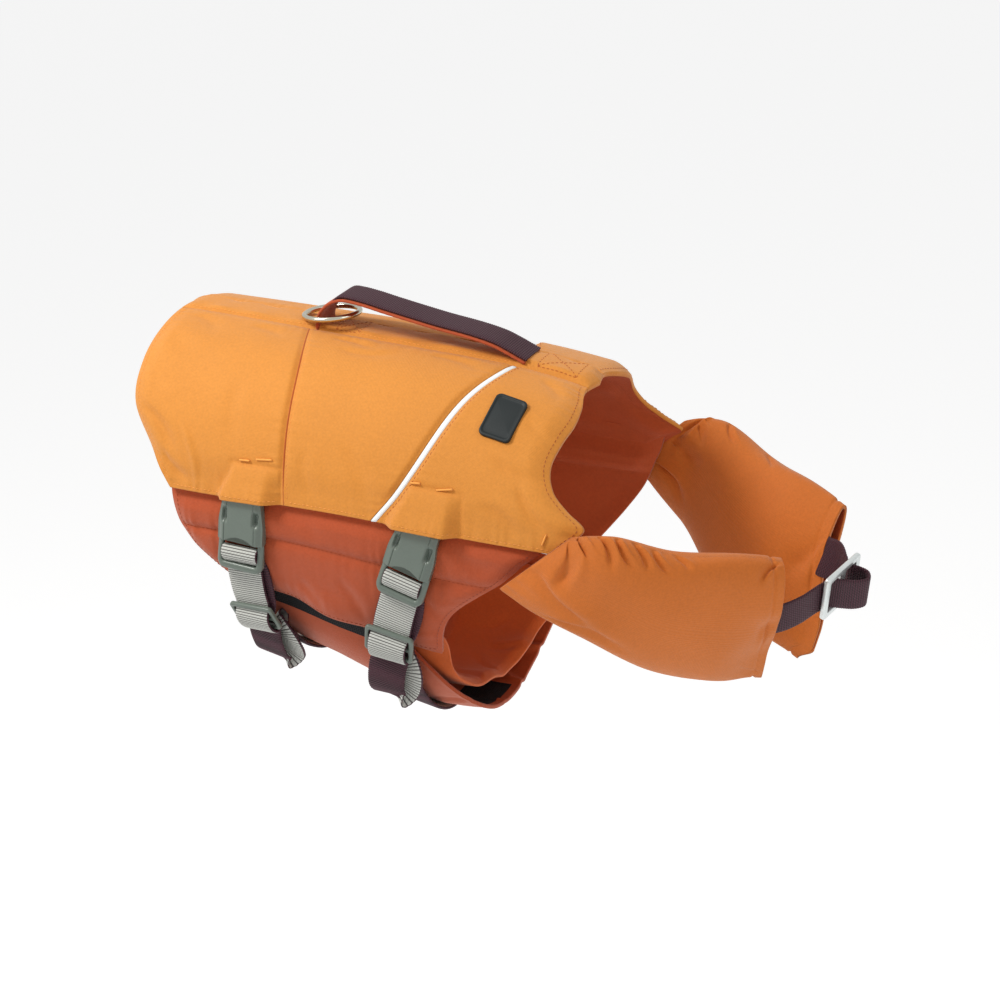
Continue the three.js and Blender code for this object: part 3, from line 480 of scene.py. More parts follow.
# Where the foam thins towards the hem and the lining comes in, as shares of the way from spine to hem
AT_HEM = (0.81, 0.94)
HEM_THINNING = 0.62
LINING_IN = (0.7, 0.9)
# How far the padding takes to fill out from the hem, a free edge, a seam and the spine
FILL_OUT = {"hem": 11, "free": 14, "seam": 2.2, "spine": 3}
SEAM_PINCH = 0.34
SPINE_PINCH = 0.5
THIN_AT_SPINE = 0.35
LINING_FOLD = 1.2


def upper_lift(side, x, angle, rear, front, rear_free, front_free, seed):
    """The outer cloth's lift over the torso on an upper panel, and how far its inner face stands off."""
    down = np.abs(angle)
    low = SPINE_ANGLE + 0.3
    v = (down - low) / (HEM_ANGLE - low)
    near_spine = THIN_AT_SPINE + (1 - THIN_AT_SPINE) * smooth(0, 0.36, v)
    at_hem = smooth(*AT_HEM, v)
    over = at_hem * HEM_CLEARANCE
    foam = FOAM * (1 - HEM_THINNING * at_hem)
    spine_gap = (down - low) * MM_PER_DEGREE
    hem_gap = (HEM_ANGLE - down) * MM_PER_DEGREE
    full = near_spine * np.sqrt(smooth(0, FILL_OUT["hem"], hem_gap))
    full = full * (1 - SPINE_PINCH * np.exp(-((spine_gap / FILL_OUT["spine"]) ** 2)))
    lining = smooth(*LINING_IN, v)
    for gap, free in ((x - rear, rear_free), (front - x, front_free)):
        lining = lining * (smooth(0, 12, gap) if free else 1)
        pinch = 1 - SEAM_PINCH * np.exp(-((gap / FILL_OUT["seam"]) ** 2))
        full = full * (np.sqrt(smooth(0, FILL_OUT["free"], gap)) if free else pinch)
    thick = np.maximum(PINCHED, PINCHED + (foam - PINCHED) * full)
    pocket = pocket_rise(side, x, angle)
    relief = crease_relief(CREASES, side, x, down) + pocket_stitch(side, x, angle)
    around = down * MM_PER_DEGREE
    relief += puckers(x - rear, around, seed) + puckers(front - x, around, seed + 1)
    relief += puckers(hem_gap, x, seed + 2, 8, 8, 0.4) + puckers(spine_gap, x, seed + 3, 9, 7, 0.4)
    fade = np.minimum(np.minimum(smooth(0, 3, x - rear), smooth(0, 3, front - x)), smooth(0, 2, hem_gap))
    inner = over + pocket - (over + pocket + INNER_PAD["thick"] + 0.1) * lining
    folds = np.sin(x / 11 + 2.2 * np.sin(down / 8)) * np.sin(down / 6.5 + x / 40)
    loose = smooth(4, 20, np.minimum(x - rear, front - x)) * smooth(0.05, 0.2, v)
    loose = loose * (1 - smooth(0.85, 0.95, v))
    return inner - LINING_FOLD * (1 + folds) * loose, over + pocket + thick + relief * fade


def shifted(rows, by):
    return {"angle": rows["angle"], "x": rows["x"] + by}


# Each upper panel: its rear and front line, and whether each is a free edge
PANELS = {
    "rear_panel": (REAR_EDGE, WAIST_SEAM, True, False),
    "middle_panel": (WAIST_SEAM, shifted(PIPING_LINE, -PIPING_WIDTH / 2), False, False),
    "shoulder_panel": (shifted(PIPING_LINE, PIPING_WIDTH / 2), NECK_EDGE, False, True),
}
SIDES = {"right": RIGHT, "left": LEFT}


def panel_lift(kind, side, x, angle):
    rear_rows, front_rows, rear_free, front_free = PANELS[kind]
    rear = edge_at(rear_rows, angle) + SEAM_GAP / 2
    front = edge_at(front_rows, angle) - SEAM_GAP / 2
    seed = 1.7 * list(PANELS).index(kind) + (0 if side == RIGHT else 0.9)
    return upper_lift(side, x, angle, rear, front, rear_free, front_free, seed)


# How many rings each cloth piece has along the body and around it
PANEL_GRID = (100, 110)
SPINE_GRID = (260, 41)
FLAP_GRID = (170, 110)
BELLY_GRID = (130, 260)
PAD_GRID = (60, 170)
FLOAT_GRID = (180, 168)


def upper_panel(kind, word):
    side = SIDES[word]
    rear_rows, front_rows = PANELS[kind][:2]
    low = SPINE_ANGLE + 0.3
    down = low + (HEM_ANGLE - low) * crowded(PANEL_GRID[1])[None, :]
    rear = edge_at(rear_rows, down) + SEAM_GAP / 2
    front = edge_at(front_rows, down) - SEAM_GAP / 2
    x = rear + (front - rear) * crowded(PANEL_GRID[0])[:, None]
    angle = side * np.broadcast_to(down, x.shape)
    over, lift = panel_lift(kind, side, x, angle)
    inner = lifted(x, angle, over)
    outer = lifted(x, angle, lift)
    piece = wall(f"{kind}_{word}_cloth", inner, outer, [ORANGE, DARK_RUST, ORANGE], [f"{kind}_{word}"])


def piping(word):
    side = SIDES[word]
    low = SPINE_ANGLE + 0.3
    down = low + (HEM_ANGLE - low) * np.linspace(0, 1, 90)[None, :]
    share = np.linspace(-0.5, 0.5, 9)[:, None]
    x = edge_at(PIPING_LINE, down) + share * (PIPING_WIDTH - SEAM_GAP)
    angle = side * np.broadcast_to(down, x.shape)
    edge = edge_at(PIPING_LINE, down) - PIPING_WIDTH / 2 - SEAM_GAP
    over, beside = panel_lift("middle_panel", side, edge, side * down)
    crown = 0.5 * (1 - (2 * share) ** 2)
    inner = lifted(x, angle, over)
    outer = lifted(x, angle, beside - 0.2 + crown)
    wall(f"piping_{word}_tape", inner, outer, [REFLECTIVE] * 3, [f"piping_{word}"])


# The second layer of cloth at the band's front, and the band's relief
COVER = {"rear": 86, "rise": 1.9}
BAND = {"plump": 2.4, "sides": 6, "ends": 9, "ripple": 0.85, "in": 4}


def spine_lift(x, angle, rear, front):
    edge = (SPINE_ANGLE - 0.1 - np.abs(angle)) * MM_PER_DEGREE
    ends = np.minimum(x - rear, front - x)
    full = np.sqrt(smooth(0, BAND["sides"], edge) * smooth(0, BAND["ends"], ends))
    sway = np.sin(x / 5.3 + 1.4 * np.sin(x / 17) + np.sign(angle) * 1.1)
    near_edge = np.exp(-((edge - BAND["in"]) / BAND["in"]) ** 2)
    ripple = BAND["ripple"] * sway * (0.4 + 0.6 * np.sin(x / 31) ** 2) * near_edge
    cover = COVER["rise"] * smooth(COVER["rear"], COVER["rear"] + 1.2, x)
    return PINCHED + BAND["plump"] * full + (ripple + cover) * full * smooth(0, 3, edge)


def spine_band():
    angle = (SPINE_ANGLE - 0.1) * np.linspace(-1, 1, SPINE_GRID[1])[None, :]
    rear = edge_at(REAR_EDGE, angle)
    front = edge_at(NECK_EDGE, angle)
    x = rear + (front - rear) * crowded(SPINE_GRID[0], 0.1)[:, None]
    angle = np.broadcast_to(angle, x.shape)
    outer = lifted(x, angle, spine_lift(x, angle, rear, front))
    inner = lifted(x, angle, 0 * x)
    piece = wall("spine_band_cloth", inner, outer, [ORANGE, DARK_RUST, ORANGE], ["spine_band"])


# The flaps' quilted seam and their hems, as shares of the way down and along
QUILT_LINE = 0.46
FLAP_HEM = {"low": 0.965, "front": 0.982, "rear": 0.018}


def flap_lift(side, x, angle, rear, front, low):
    down = np.abs(angle)
    v = (down - FLAP_TOP_ANGLE) / (low - FLAP_TOP_ANGLE)
    top_gap = (down - FLAP_TOP_ANGLE) * MM_PER_DEGREE
    low_gap = (low - down) * MM_PER_DEGREE
    ends = smooth(0, 13, np.minimum(x - rear, front - x))
    full = np.sqrt(ends * smooth(0, 13, np.minimum(top_gap, low_gap)))
    thick = FLAP_EDGE + (FLAP_FOAM - FLAP_EDGE) * full * smooth(HEM_ANGLE + 0.5, HEM_ANGLE + 7, down)
    thick = thick - 1.8 * smooth(0, INNER_PAD["top"], v)
    quilt_gap = (v - QUILT_LINE) * (low - FLAP_TOP_ANGLE) * MM_PER_DEGREE
    thick -= 2.2 * full * np.exp(-np.abs(quilt_gap / 2.4) ** 1.5)
    relief = crease_relief(FLAP_CREASES, side, x, down)
    relief += puckers(np.abs(quilt_gap), x, 5 + side, 8, 9, 0.4) + puckers(low_gap, x, 2 + side, 9, 9, 0.4)
    relief += puckers(front - x, down * MM_PER_DEGREE, 3 + side, 8, 9, 0.4)
    gape = 0 * x
    if side == RIGHT:
        between = np.clip((x - GAPE["rear"]) / (GAPE["front"] - GAPE["rear"]), 0, 1)
        gape = GAPE["lift"] * np.sin(np.pi * between) ** 2 * smooth(0.72, 1, v)
    seam = (INNER_PAD["low"] - down) * MM_PER_DEGREE
    plump = INNER_PAD["thick"] + INNER_PAD["bulge"] * smooth(80, 89, down)
    padded = plump * np.sqrt(smooth(0, 5, seam) * ends)
    sag = 0.9 * np.sin(x / 17 + 2 * np.sin(down / 9)) * ends
    sag = sag * smooth(0, 8, np.abs(seam)) * smooth(84, 92, down)
    return gape - padded - sag * smooth(0, 6, low_gap), gape + thick + relief * full


def flap_places(word, u, v):
    side = SIDES[word]
    rows = RIGHT_FLAP if side == RIGHT else LEFT_FLAP
    low = from_table(FLAP_LOW_ANGLE, "along", "angle", u)
    down = FLAP_TOP_ANGLE + (low - FLAP_TOP_ANGLE) * v
    rear = from_table(rows, "down", "rear", v)
    front = from_table(rows, "down", "front", v)
    x = rear + (front - rear) * u
    return x, side * down, flap_lift(side, x, side * down, rear, front, low)


def side_flap(word):
    top = INNER_PAD["top"]
    u, v = np.meshgrid(crowded(FLAP_GRID[0]), top + (1 - top) * crowded(FLAP_GRID[1]), indexing="ij")
    x, angle, (inner, outer) = flap_places(word, u, v)
    piece = wall(f"side_flap_{word}_cloth", lifted(x, angle, inner), lifted(x, angle, outer),
                 [RUST, DARK_RUST, RUST], [f"side_flap_{word}"])


def belly_angle(u, v):
    end = from_table(FLAP_LOW_ANGLE, "along", "angle", u) - 360 + SEAM_EASE
    return BELLY_START + (end - BELLY_START) * v


BELLY_CREASES = table(
    "side x0 angle0 x1 angle1 wide deep",
    (LEFT, 84, 0.76, 56, 0.7, 6, 2.2), (LEFT, 82, 0.62, 60, 0.66, 6, 1.3),
    (LEFT, 78, 0.5, 58, 0.46, 5, 1.0), (LEFT, 70, 0.3, 40, 0.36, 7, 1.2),
    (LEFT, 86, 0.86, 66, 0.8, 5, 1.2), (LEFT, -50, 0.3, -26, 0.36, 7, 1.2),
    (LEFT, -50, 0.62, -20, 0.56, 7, 1.2), (LEFT, 20, 0.46, -16, 0.52, 9, 1.0),
    (LEFT, -58, 0.84, -30, 0.8, 6, 1.2),
)
BELLY_GIRTH = 225
BELLY_HEM = {"wide": 6, "length": 150, "thinner": 1.2, "rolled": 0.5}
# Where black shows: black mesh outside by the right flap, and inside along the front black that is partly
# painted shade for the dark hollow there, as shares round and along
OUTER_MESH = {"around": 0.135, "front": 32}
INNER_BLACK_SHADE = {"around": 0.6, "rear": 0.74, "front": 0.96}


def belly_places(u, v):
    rear = from_table(BELLY, "around", "rear", v)
    front = from_table(BELLY, "around", "front", v)
    x = rear + (front - rear) * u
    relief = 1.3 * crease_relief(BELLY_CREASES, LEFT, x, v, (1, BELLY_GIRTH))
    relief += 0.5 * np.sin(x / 13 + 2 * np.sin(v * 11)) * np.sin(np.pi * v)
    return x, belly_angle(u, v), from_table(BELLY, "around", "drop", v) + relief


def belly_panel():
    """The belly panel: black mesh where it gapes behind the right flap, and black inside its front that is
    partly painted shade.
    """
    u, v = np.meshgrid(crowded(BELLY_GRID[0]), np.linspace(0, 1, BELLY_GRID[1]), indexing="ij")
    x, angle, drop = belly_places(u, v)
    hem = smooth(0, BELLY_HEM["wide"], np.minimum(u, 1 - u) * BELLY_HEM["length"])
    thick = BELLY_THICK - BELLY_HEM["thinner"] + BELLY_HEM["rolled"] * (1 - hem)
    along, around, place = u[:-1, :-1], v[:-1, :-1], x[:-1, :-1]
    zones = np.where((around < OUTER_MESH["around"]) & (place < OUTER_MESH["front"]), 3, 0)
    at_front = (along > INNER_BLACK_SHADE["rear"]) & (along < INNER_BLACK_SHADE["front"])
    # Inside along the front the black is partly painted shade, for the dark hollow under the right flap's
    # front corner
    inner_zones = np.where((around < INNER_BLACK_SHADE["around"]) & at_front, 3, 1)
    piece = wall("belly_panel_cloth", lifted(x, angle, drop), lifted(x, angle, drop + thick),
                 [RUST, DARK_RUST, RUST, BLACK_MESH_AND_SHADE], ["belly_panel"], zones, inner_zones)


PAD_CREASES = table(
    "side x0 angle0 x1 angle1 wide deep",
    (LEFT, 74, 0.36, 40, 0.44, 7, 1.3), (LEFT, 72, 0.52, 48, 0.6, 6, 0.9),
    (LEFT, 70, 0.24, 44, 0.2, 6, 1.0), (LEFT, 78, 0.7, 52, 0.66, 7, 1.0),
    (LEFT, 56, 0.3, 30, 0.4, 8, 0.9), (LEFT, 60, 0.8, 34, 0.72, 8, 0.9),
)


PAD_RIM = 1.6
PAD_PLUMP = 1.2


def belly_pad():
    start, end = BELLY_PAD["around"][0], BELLY_PAD["around"][-1]
    u, v = np.meshgrid(crowded(PAD_GRID[0]), np.linspace(0, 1, PAD_GRID[1]), indexing="ij")
    around = start + (end - start) * v
    rear = from_table(BELLY_PAD, "around", "rear", around)
    front = from_table(BELLY_PAD, "around", "front", around)
    front = front + PAD_RIM * np.sin(v * 21 + 1.7 * np.sin(v * 8))
    x = rear + (front - rear) * u
    wave = (1.1 + np.sin(v * 19)) * (1 - np.cos(v * 7 * np.pi + np.sin(v * 9))) * smooth(0.45, 1, u)
    gap = from_table(BELLY_PAD, "around", "gap", around)
    outer = from_table(BELLY, "around", "drop", around) - gap - wave
    rim = np.sqrt(smooth(0, 6, np.minimum(u, 1 - u) * 55) * smooth(0, 5, np.minimum(v, 1 - v) * 190))
    folds = crease_relief(PAD_CREASES, LEFT, x, around, (1, BELLY_GIRTH))
    inner = outer - PAD_RIM - (PAD_THICK + PAD_PLUMP - PAD_RIM + folds) * rim
    angle = belly_angle(u, around)
    piece = wall("belly_pad_cloth", lifted(x, angle, inner), lifted(x, angle, outer), [DARK_ORANGE] * 3,
                 ["belly_pad"])


# Neck floats

def collar_edge(side, t, edge):
    inward = ROOT_INWARD[side] * (1 - smooth(0, 0.4, t))
    x, y, z = (from_table(COLLAR, "along", edge + axis, t) for axis in "XYZ")
    x = x + (LEFT_REACH * t * t if side == LEFT else 0)
    return np.stack([x, (y + inward) * -side, z], -1)


def collar_middle(side, t):
    return (collar_edge(side, t, "top") + collar_edge(side, t, "low")) / 2


def collar_direction(side, t):
    return unit(collar_middle(side, np.minimum(t + 0.03, 1)) - collar_middle(side, np.maximum(t - 0.03, 0)))


# How much each float's end is drawn flat, all round and more at its lower side
END_PINCH = {RIGHT: {"all": 0, "low": 0.78}, LEFT: {"all": 0.5, "low": 0.36}}
# How much the lower side is tucked in at the root
ROOT_TUCK = {RIGHT: 0, LEFT: 0.34}
# How far the lower corner of each float's end reaches ahead of its upper one
LOW_END = {RIGHT: 0, LEFT: 12}


def collar_ring(side, t, turn, less, back):
    """Points round a float; towards its end it's drawn flat, most at its lower side."""
    half = (collar_edge(side, t, "top") - collar_edge(side, t, "low")) / 2
    path = collar_direction(side, t)
    across = unit(np.cross(path, half))
    c, s = np.cos(turn), np.sin(turn)
    closing = smooth(0.72, 1, t)
    low = smooth(0.4, -0.5, c)
    pinch = 1 - (END_PINCH[side]["all"] + END_PINCH[side]["low"] * low) * closing
    root = 1 - ROOT_TUCK[side] * low * smooth(0.24, 0, t)
    width = np.linalg.norm(half, axis=-1) * root - less
    thick = np.maximum(from_table(COLLAR, "along", "thick", t) / 2 * pinch - less, 0.5)
    corner = low * (1 - 0.8 * smooth(-0.75, -1, c))
    ahead = LOW_END[side] * closing**2 * corner * np.clip(1 - np.asarray(back) / 6, 0, 1) - back
    point = collar_middle(side, t) + path * ahead[..., None]
    point = point + unit(half) * (width * np.sign(c) * np.abs(c) ** 0.8)[..., None]
    return point + across * (thick * np.sign(s) * np.abs(s) ** 0.8)[..., None]


# Creases of the floats: the share along them and the turn in degrees, 0 at the top and 90 to the right
FLOAT_CREASES = table(
    "side x0 angle0 x1 angle1 wide deep",
    (RIGHT, 0.03, 30, 0.12, 96, 6, 3.4), (RIGHT, 0.05, 2, 0.15, 52, 4.5, 2.8),
    (RIGHT, 0.15, 0, 0.25, 56, 4.5, 2.4), (RIGHT, 0.24, 0, 0.32, 44, 4, 2.0),
    (RIGHT, 0.32, 0, 0.38, 40, 4, 1.8), (RIGHT, 0.4, 0, 0.47, 36, 4, 1.5),
    (RIGHT, 0.5, 0, 0.56, 26, 4, 0.9), (RIGHT, 0.04, 96, 0.3, 128, 8, 1.6),
    (RIGHT, 0.14, 150, 0.4, 128, 7, 1.3), (RIGHT, 0.97, 6, 0.88, 40, 4, 1.6),
    (RIGHT, 0.98, 150, 0.84, 128, 6, 1.4), (RIGHT, 0.99, 80, 0.9, 96, 7, 0.9),
    (RIGHT, 0.04, 230, 0.24, 250, 6, 2.2), (RIGHT, 0.04, 280, 0.22, 300, 6, 2.2),
    (RIGHT, 0.1, 330, 0.3, 310, 5, 1.8), (LEFT, 0.12, 0, 0.06, 76, 6, 4),
    (LEFT, 0.07, 26, 0.2, 62, 5, 1.9), (LEFT, 0.05, 66, 0.24, 84, 6, 2.0),
    (LEFT, 0.05, 110, 0.24, 122, 6, 1.8), (LEFT, 0.26, 0, 0.36, 34, 5, 1.2),
    (LEFT, 0.98, 60, 0.84, 92, 6, 2.0), (LEFT, 0.97, 130, 0.8, 110, 8, 1.3),
    (LEFT, 0.5, 0, 0.6, 26, 5, 0.8), (LEFT, 0.05, 230, 0.24, 250, 6, 2.2),
    (LEFT, 0.04, 285, 0.22, 300, 6, 2.2), (LEFT, 0.2, 330, 0.3, 300, 5, 1.5),
    (LEFT, 0.3, 200, 0.5, 220, 9, 1.0),
)
FLOAT_SCALE = (150, 0.55)
FLOAT_CREASE_DEPTH = 1.8
# The sleeve's hem: how far its stitched dip is from the end, its half width and its depth
SLEEVE_HEM = {"in": 7, "wide": 1.2, "deep": 1.2}


def collar_float(word):
    side = SIDES[word]
    rings, sides = FLOAT_GRID
    t, turn = np.meshgrid(crowded(rings, 0.35), np.arange(sides) / sides * 2 * np.pi, indexing="ij")
    outer = collar_ring(side, t, turn, 0 * t, 0 * t)
    centre = collar_middle(side, t)
    relief = crease_relief(FLOAT_CREASES, side, t, np.degrees(turn), FLOAT_SCALE) * FLOAT_CREASE_DEPTH
    soft = np.sin(t * 9 + 1.5 * np.sin(turn * 2)) * np.sin(turn * 3 + 2 * t)
    relief += 0.8 * soft * smooth(0, 0.2, t) * smooth(0, 0.08, 1 - t)
    relief += 0.9 * np.sin(turn * 11 + 2 * np.sin(turn * 3)) * np.exp(-t / 0.05) * smooth(0, 0.012, t)
    hem = ((1 - t) * FLOAT_SCALE[0] - SLEEVE_HEM["in"]) / SLEEVE_HEM["wide"]
    relief -= SLEEVE_HEM["deep"] * np.exp(-hem ** 2)
    outer = outer + unit(outer - centre) * relief[..., None]
    deep = np.array([0.01, 1.5, 5, 10, 15, SLEEVE_DEPTH])
    t_in, turn_in = np.meshgrid(np.ones(len(deep)), turn[0], indexing="ij")
    sleeve = collar_ring(side, t_in, turn_in, np.full(t_in.shape, SLEEVE_WALL), deep[:, None] + 0 * t_in)
    points = np.concatenate([outer, sleeve])
    faces = tube_faces(rings + len(deep), sides)
    kinds = np.array([0] * (rings * sides) + [1] * ((len(deep) - 1) * sides) + [0, 1])
    length = np.concatenate([[0], np.cumsum(np.linalg.norm(np.diff(points.mean(1), axis=0), axis=-1))])
    girth = np.linalg.norm(outer[rings // 2] - np.roll(outer[rings // 2], 1, axis=0), axis=-1).sum()
    around = np.arange(sides)[None, :] / sides * girth
    uv = np.stack(np.broadcast_arrays(length[:, None], around), -1).reshape(-1, 2)
    piece = add_piece(f"collar_float_{word}_cloth", points.reshape(-1, 3), faces, [SHADED_FLOAT_ORANGE, DARK_RUST],
                      kinds, uv, [f"collar_float_{word}"])


# Webbing

def resampled(points, spacing, extra=None):
    """Even steps along a smooth curve through the points, with any other columns carried along."""
    points = np.asarray(points, float)
    columns = points if extra is None else np.concatenate([points, np.asarray(extra, float)], 1)
    chord = np.concatenate([[0], np.cumsum(np.linalg.norm(np.diff(points, axis=0), axis=1))])
    rows = {"s": chord, **{str(i): columns[:, i] for i in range(columns.shape[1])}}
    s = np.linspace(0, chord[-1], max(8, int(chord[-1] / spacing)))
    return np.stack([from_table(rows, "s", str(i), s) for i in range(columns.shape[1])], 1)


LANES = np.array([-1, -0.96, -0.85, -0.5, 0, 0.5, 0.85, 0.96, 1])
LANE_HEIGHT = np.array([0.35, 0.8, 1, 1, 1, 1, 1, 0.8, 0.35])


def webbing(name, path, across, width, thick, materials, replaces, pitch, rib):
    """Ribbed webbing along a path; its materials are for its outer face, its back and its edges."""
    data = resampled(path, pitch / 5, across)
    path, across = data[:, :3], data[:, 3:]
    along = unit(np.gradient(path, axis=0))
    side = unit(across - along * (across * along).sum(1)[:, None])
    normal = np.cross(along, side)
    s = np.concatenate([[0], np.cumsum(np.linalg.norm(np.diff(path, axis=0), axis=1))])
    wave = rib * np.abs(np.sin(np.pi * s / pitch)) ** 0.7 - rib
    rings = []
    for face, order in ((1, 1), (-1, -1)):
        for lane, share in zip(LANES[::order], LANE_HEIGHT[::order]):
            height = (thick / 2 + wave) * share * face
            edge = width / 2 + (wave if abs(lane) > 0.95 else 0 * wave)
            rings.append(path + side * (lane * edge)[:, None] + normal * height[:, None])
    points = np.stack(rings, 1)
    count, sides = points.shape[:2]
    top, edge = [0] * (len(LANES) - 3), [2]
    kinds = np.tile(edge + top + edge * 3 + [1] * len(top) + edge * 2, (count - 1, 1)).ravel()
    lanes = np.concatenate([LANES, LANES[::-1]]) * width / 2
    uv = np.stack(np.broadcast_arrays(s[:, None], lanes[None, :]), -1).reshape(-1, 2)
    kinds = np.concatenate([kinds, [2, 2]])
    return add_piece(name, points.reshape(-1, 3), tube_faces(count, sides), materials, kinds, uv, replaces)


REAR_STRAP = table("down x", (-4, -58), (40, -60), (78, -56), (110, -50), (230, -42))
FRONT_STRAP = table("down x", (-4, 62), (40, 49), (78, 39), (110, 37), (230, 40))
STRAP_PATH = table(
    "down lift slip",
    (77.4, 13, 0), (73, 11.2, 1.6), (67, 10, 3.4), (58, 8.7, 4), (49, 7.6, 3), (41, 7.8, 0.6),
    (35.6, 8.6, 0), (33.2, 10.4, 0), (33.8, 12.8, 0), (36.4, 14.1, 0), (39.8, 13.2, 0), (42.4, 11, 0),
    (45, 9.9, 0), (50, 10.4, 0), (57, 11.5, 0), (64, 12.7, 0), (69, 13.2, 0), (71.8, 14.2, 0),
    (73.4, 16.6, 0), (75.4, 19, 0), (79, 20.2, 0), (83, 20, 0), (87, 18.6, 0), (89.6, 16.2, 0),
    (89.8, 13.6, 0), (87.6, 12, 0), (84.6, 11.6, 0),
)
# The strap's slack end hangs in a loop below the slider and runs on under the belly
SLACK_PATH = table(
    "down lift slip",
    (85.6, 13.4, 0), (89.5, 15.6, 0), (95, 18.4, -1), (102, 21, -2), (108.4, 22.6, -2.5), (113.4, 22, -2),
    (115, 19.4, 0), (113.4, 17.2, 3), (108.4, 15.6, 6), (102, 13.8, 7), (96.5, 11.8, 5), (93, 10.2, 2),
    (91.6, 9.2, 0), (92.8, 8.4, 0), (97, 8.4, 0), (103, 8.5, 0), (112, 8.7, 0), (122, 9, 0),
    (137, 9.2, 0), (147, 9.2, 0), (157, 9.2, 0), (167, 9.2, 0), (177, 8.6, 0), (187, 6.6, 0),
)
# The webbing's ribs stand proud of its plain thickness
BELLY_STRAP_RELIEF = 0.8
STRAP_RISE = 4.5
STRAP_STEPS = {"start": -8, "end": 232, "step": 0.5}
BUCKLE = {"width": 31, "thick": 8, "socket": 29.5, "latch": 18, "frame": 5, "bar": 4.6,
          "down": 24.5, "lift": 8.8, "tilt": 6, "joint": -6}
SLIDER = {"width": 32, "height": 20, "bar": 2.8, "thick": 2.6, "down": 78, "lift": 16}


class StrapLine:
    """Places on a strap's line down the side of the body."""

    def __init__(self, rows):
        self.rows = rows
        start, end, step = STRAP_STEPS.values()
        self.downs = np.arange(start, end, step)
        places_up, angles_up = self.walk(start, -step)
        places_down, angles_down = self.walk(end, step)
        places = places_up[::-1] + places_down[1:]
        self.angles = np.interp(self.downs, places, angles_up[::-1] + angles_down[1:])

    def walk(self, end, step):
        """Places and angles from the hem to one end of the line, step by step."""
        angles = [float(HEM_ANGLE)]
        for down in np.arange(STRAP_RISE, end, step):
            angles.append(self.advance(angles[-1], down, step))
        return [STRAP_RISE + step * i for i in range(len(angles))], angles

    def advance(self, angle, down, step):
        x = from_table(self.rows, "down", "x", np.array(down))
        per_degree = np.linalg.norm(torso(x, angle + 0.5) - torso(x, angle - 0.5))
        return angle + step / per_degree

    def place(self, down):
        down = np.asarray(down, float)
        return from_table(self.rows, "down", "x", down), -np.interp(down, self.downs, self.angles)

    def at(self, down, lift):
        x, angle = self.place(down)
        return lifted(x, angle, np.broadcast_to(lift, np.shape(x)))

    def sideways(self, down):
        down = np.asarray(down, float)
        x, angle = self.place(down)
        run = self.at(down - 2, 0 * down) - self.at(down + 2, 0 * down)
        return -unit(np.cross(outward(x, angle), run))

    def hard(self, down, lift, tilt=0):
        """Origin and axes for a hard piece: across, up the body and outward; a tilt sinks its top."""
        down = np.asarray(down, float)
        x, angle = self.place(down)
        out = outward(x, angle)
        along = self.sideways(down)
        up = np.cross(out, along)
        c, s = math.cos(math.radians(tilt)), math.sin(math.radians(tilt))
        return self.at(down, lift), along, up * c - out * s, out * c + up * s


def placed(points, origin, along, up, out):
    points = np.asarray(points, float)
    return origin + points[..., :1] * along + points[..., 1:2] * up + points[..., 2:3] * out


def rounded_outline(width, height, radius, middle=(0, 0), steps=6):
    """Corner arcs of a rounded rectangle, anticlockwise."""
    points = []
    for corner, (sx, sy) in enumerate(((1, -1), (1, 1), (-1, 1), (-1, -1))):
        for k in range(steps + 1):
            turn = (corner - 1 + k / steps) * math.pi / 2
            points.append((middle[0] + sx * (width / 2 - radius) + radius * math.cos(turn),
                           middle[1] + sy * (height / 2 - radius) + radius * math.sin(turn)))
    return points


def plate_mesh(name, outlines, thick, bevel):
    """A flat plate with holes and rounded edges, from Blender's filled 2D curve."""
    curve = bpy.data.curves.new(name + "_outline", "CURVE")
    curve.dimensions = "2D"
    curve.fill_mode = "BOTH"
    curve.extrude = (thick / 2 - bevel) * MM
    curve.bevel_depth = bevel * MM
    curve.offset = -bevel * MM
    curve.bevel_resolution = 3
    for outline in outlines:
        spline = curve.splines.new("POLY")
        spline.points.add(len(outline) - 1)
        for point, (x, y) in zip(spline.points, outline):
            point.co = (x * MM, y * MM, 0, 1)
        spline.use_cyclic_u = True
    holder = bpy.data.objects.new(name + "_outline", curve)
    bpy.context.scene.collection.objects.link(holder)
    bpy.context.view_layer.update()
    mesh = bpy.data.meshes.new_from_object(holder.evaluated_get(bpy.context.evaluated_depsgraph_get()))
    bpy.data.objects.remove(holder)
    work = bmesh.new()
    work.from_mesh(mesh)
    bmesh.ops.remove_doubles(work, verts=work.verts, dist=1e-6)
    points = [tuple(v.co / MM) for v in work.verts]
    faces = [[v.index for v in face.verts] for face in work.faces]
    work.free()
    return points, faces


def hard_plate(name, outlines, thick, bevel, frame_axes, slot, replaces, shape=None):
    points, faces = plate_mesh(name, outlines, thick, bevel)
    points = np.array(points)
    if shape is not None:
        points = shape(points)
    piece = add_piece(name, placed(points, *frame_axes), faces, [slot], None, points[:, :2], replaces)
    piece.data.set_sharp_from_angle(angle=math.radians(40))
    return piece


def slider_outlines(width, height, bar):
    gap = (height - 3 * bar) / 2
    holes = [rounded_outline(width - 2 * bar, gap, 0.8, (0, sign * (bar + gap) / 2), 3) for sign in (-1, 1)]
    return [rounded_outline(width, height, 2.5), *holes]


def socket_section():
    """Shares across and in height round the socket: a flat top, a groove, sloping rails and an underside."""
    top = np.linspace(1, -1, 69)
    reach = np.abs(top)
    height = 1 - 0.55 * smooth(0.7, 1, reach) - 0.14 * np.exp(-(((reach - 0.67) / 0.022) ** 2))
    side = np.array([-1, -0.97, -0.9])
    drop = np.array([-0.6, -0.92, -1])
    under = np.linspace(-0.8, 0.8, 9)
    across = np.concatenate([top, side, under, -side[::-1]])
    return across, np.concatenate([height, drop, -np.ones(9), drop[::-1]])


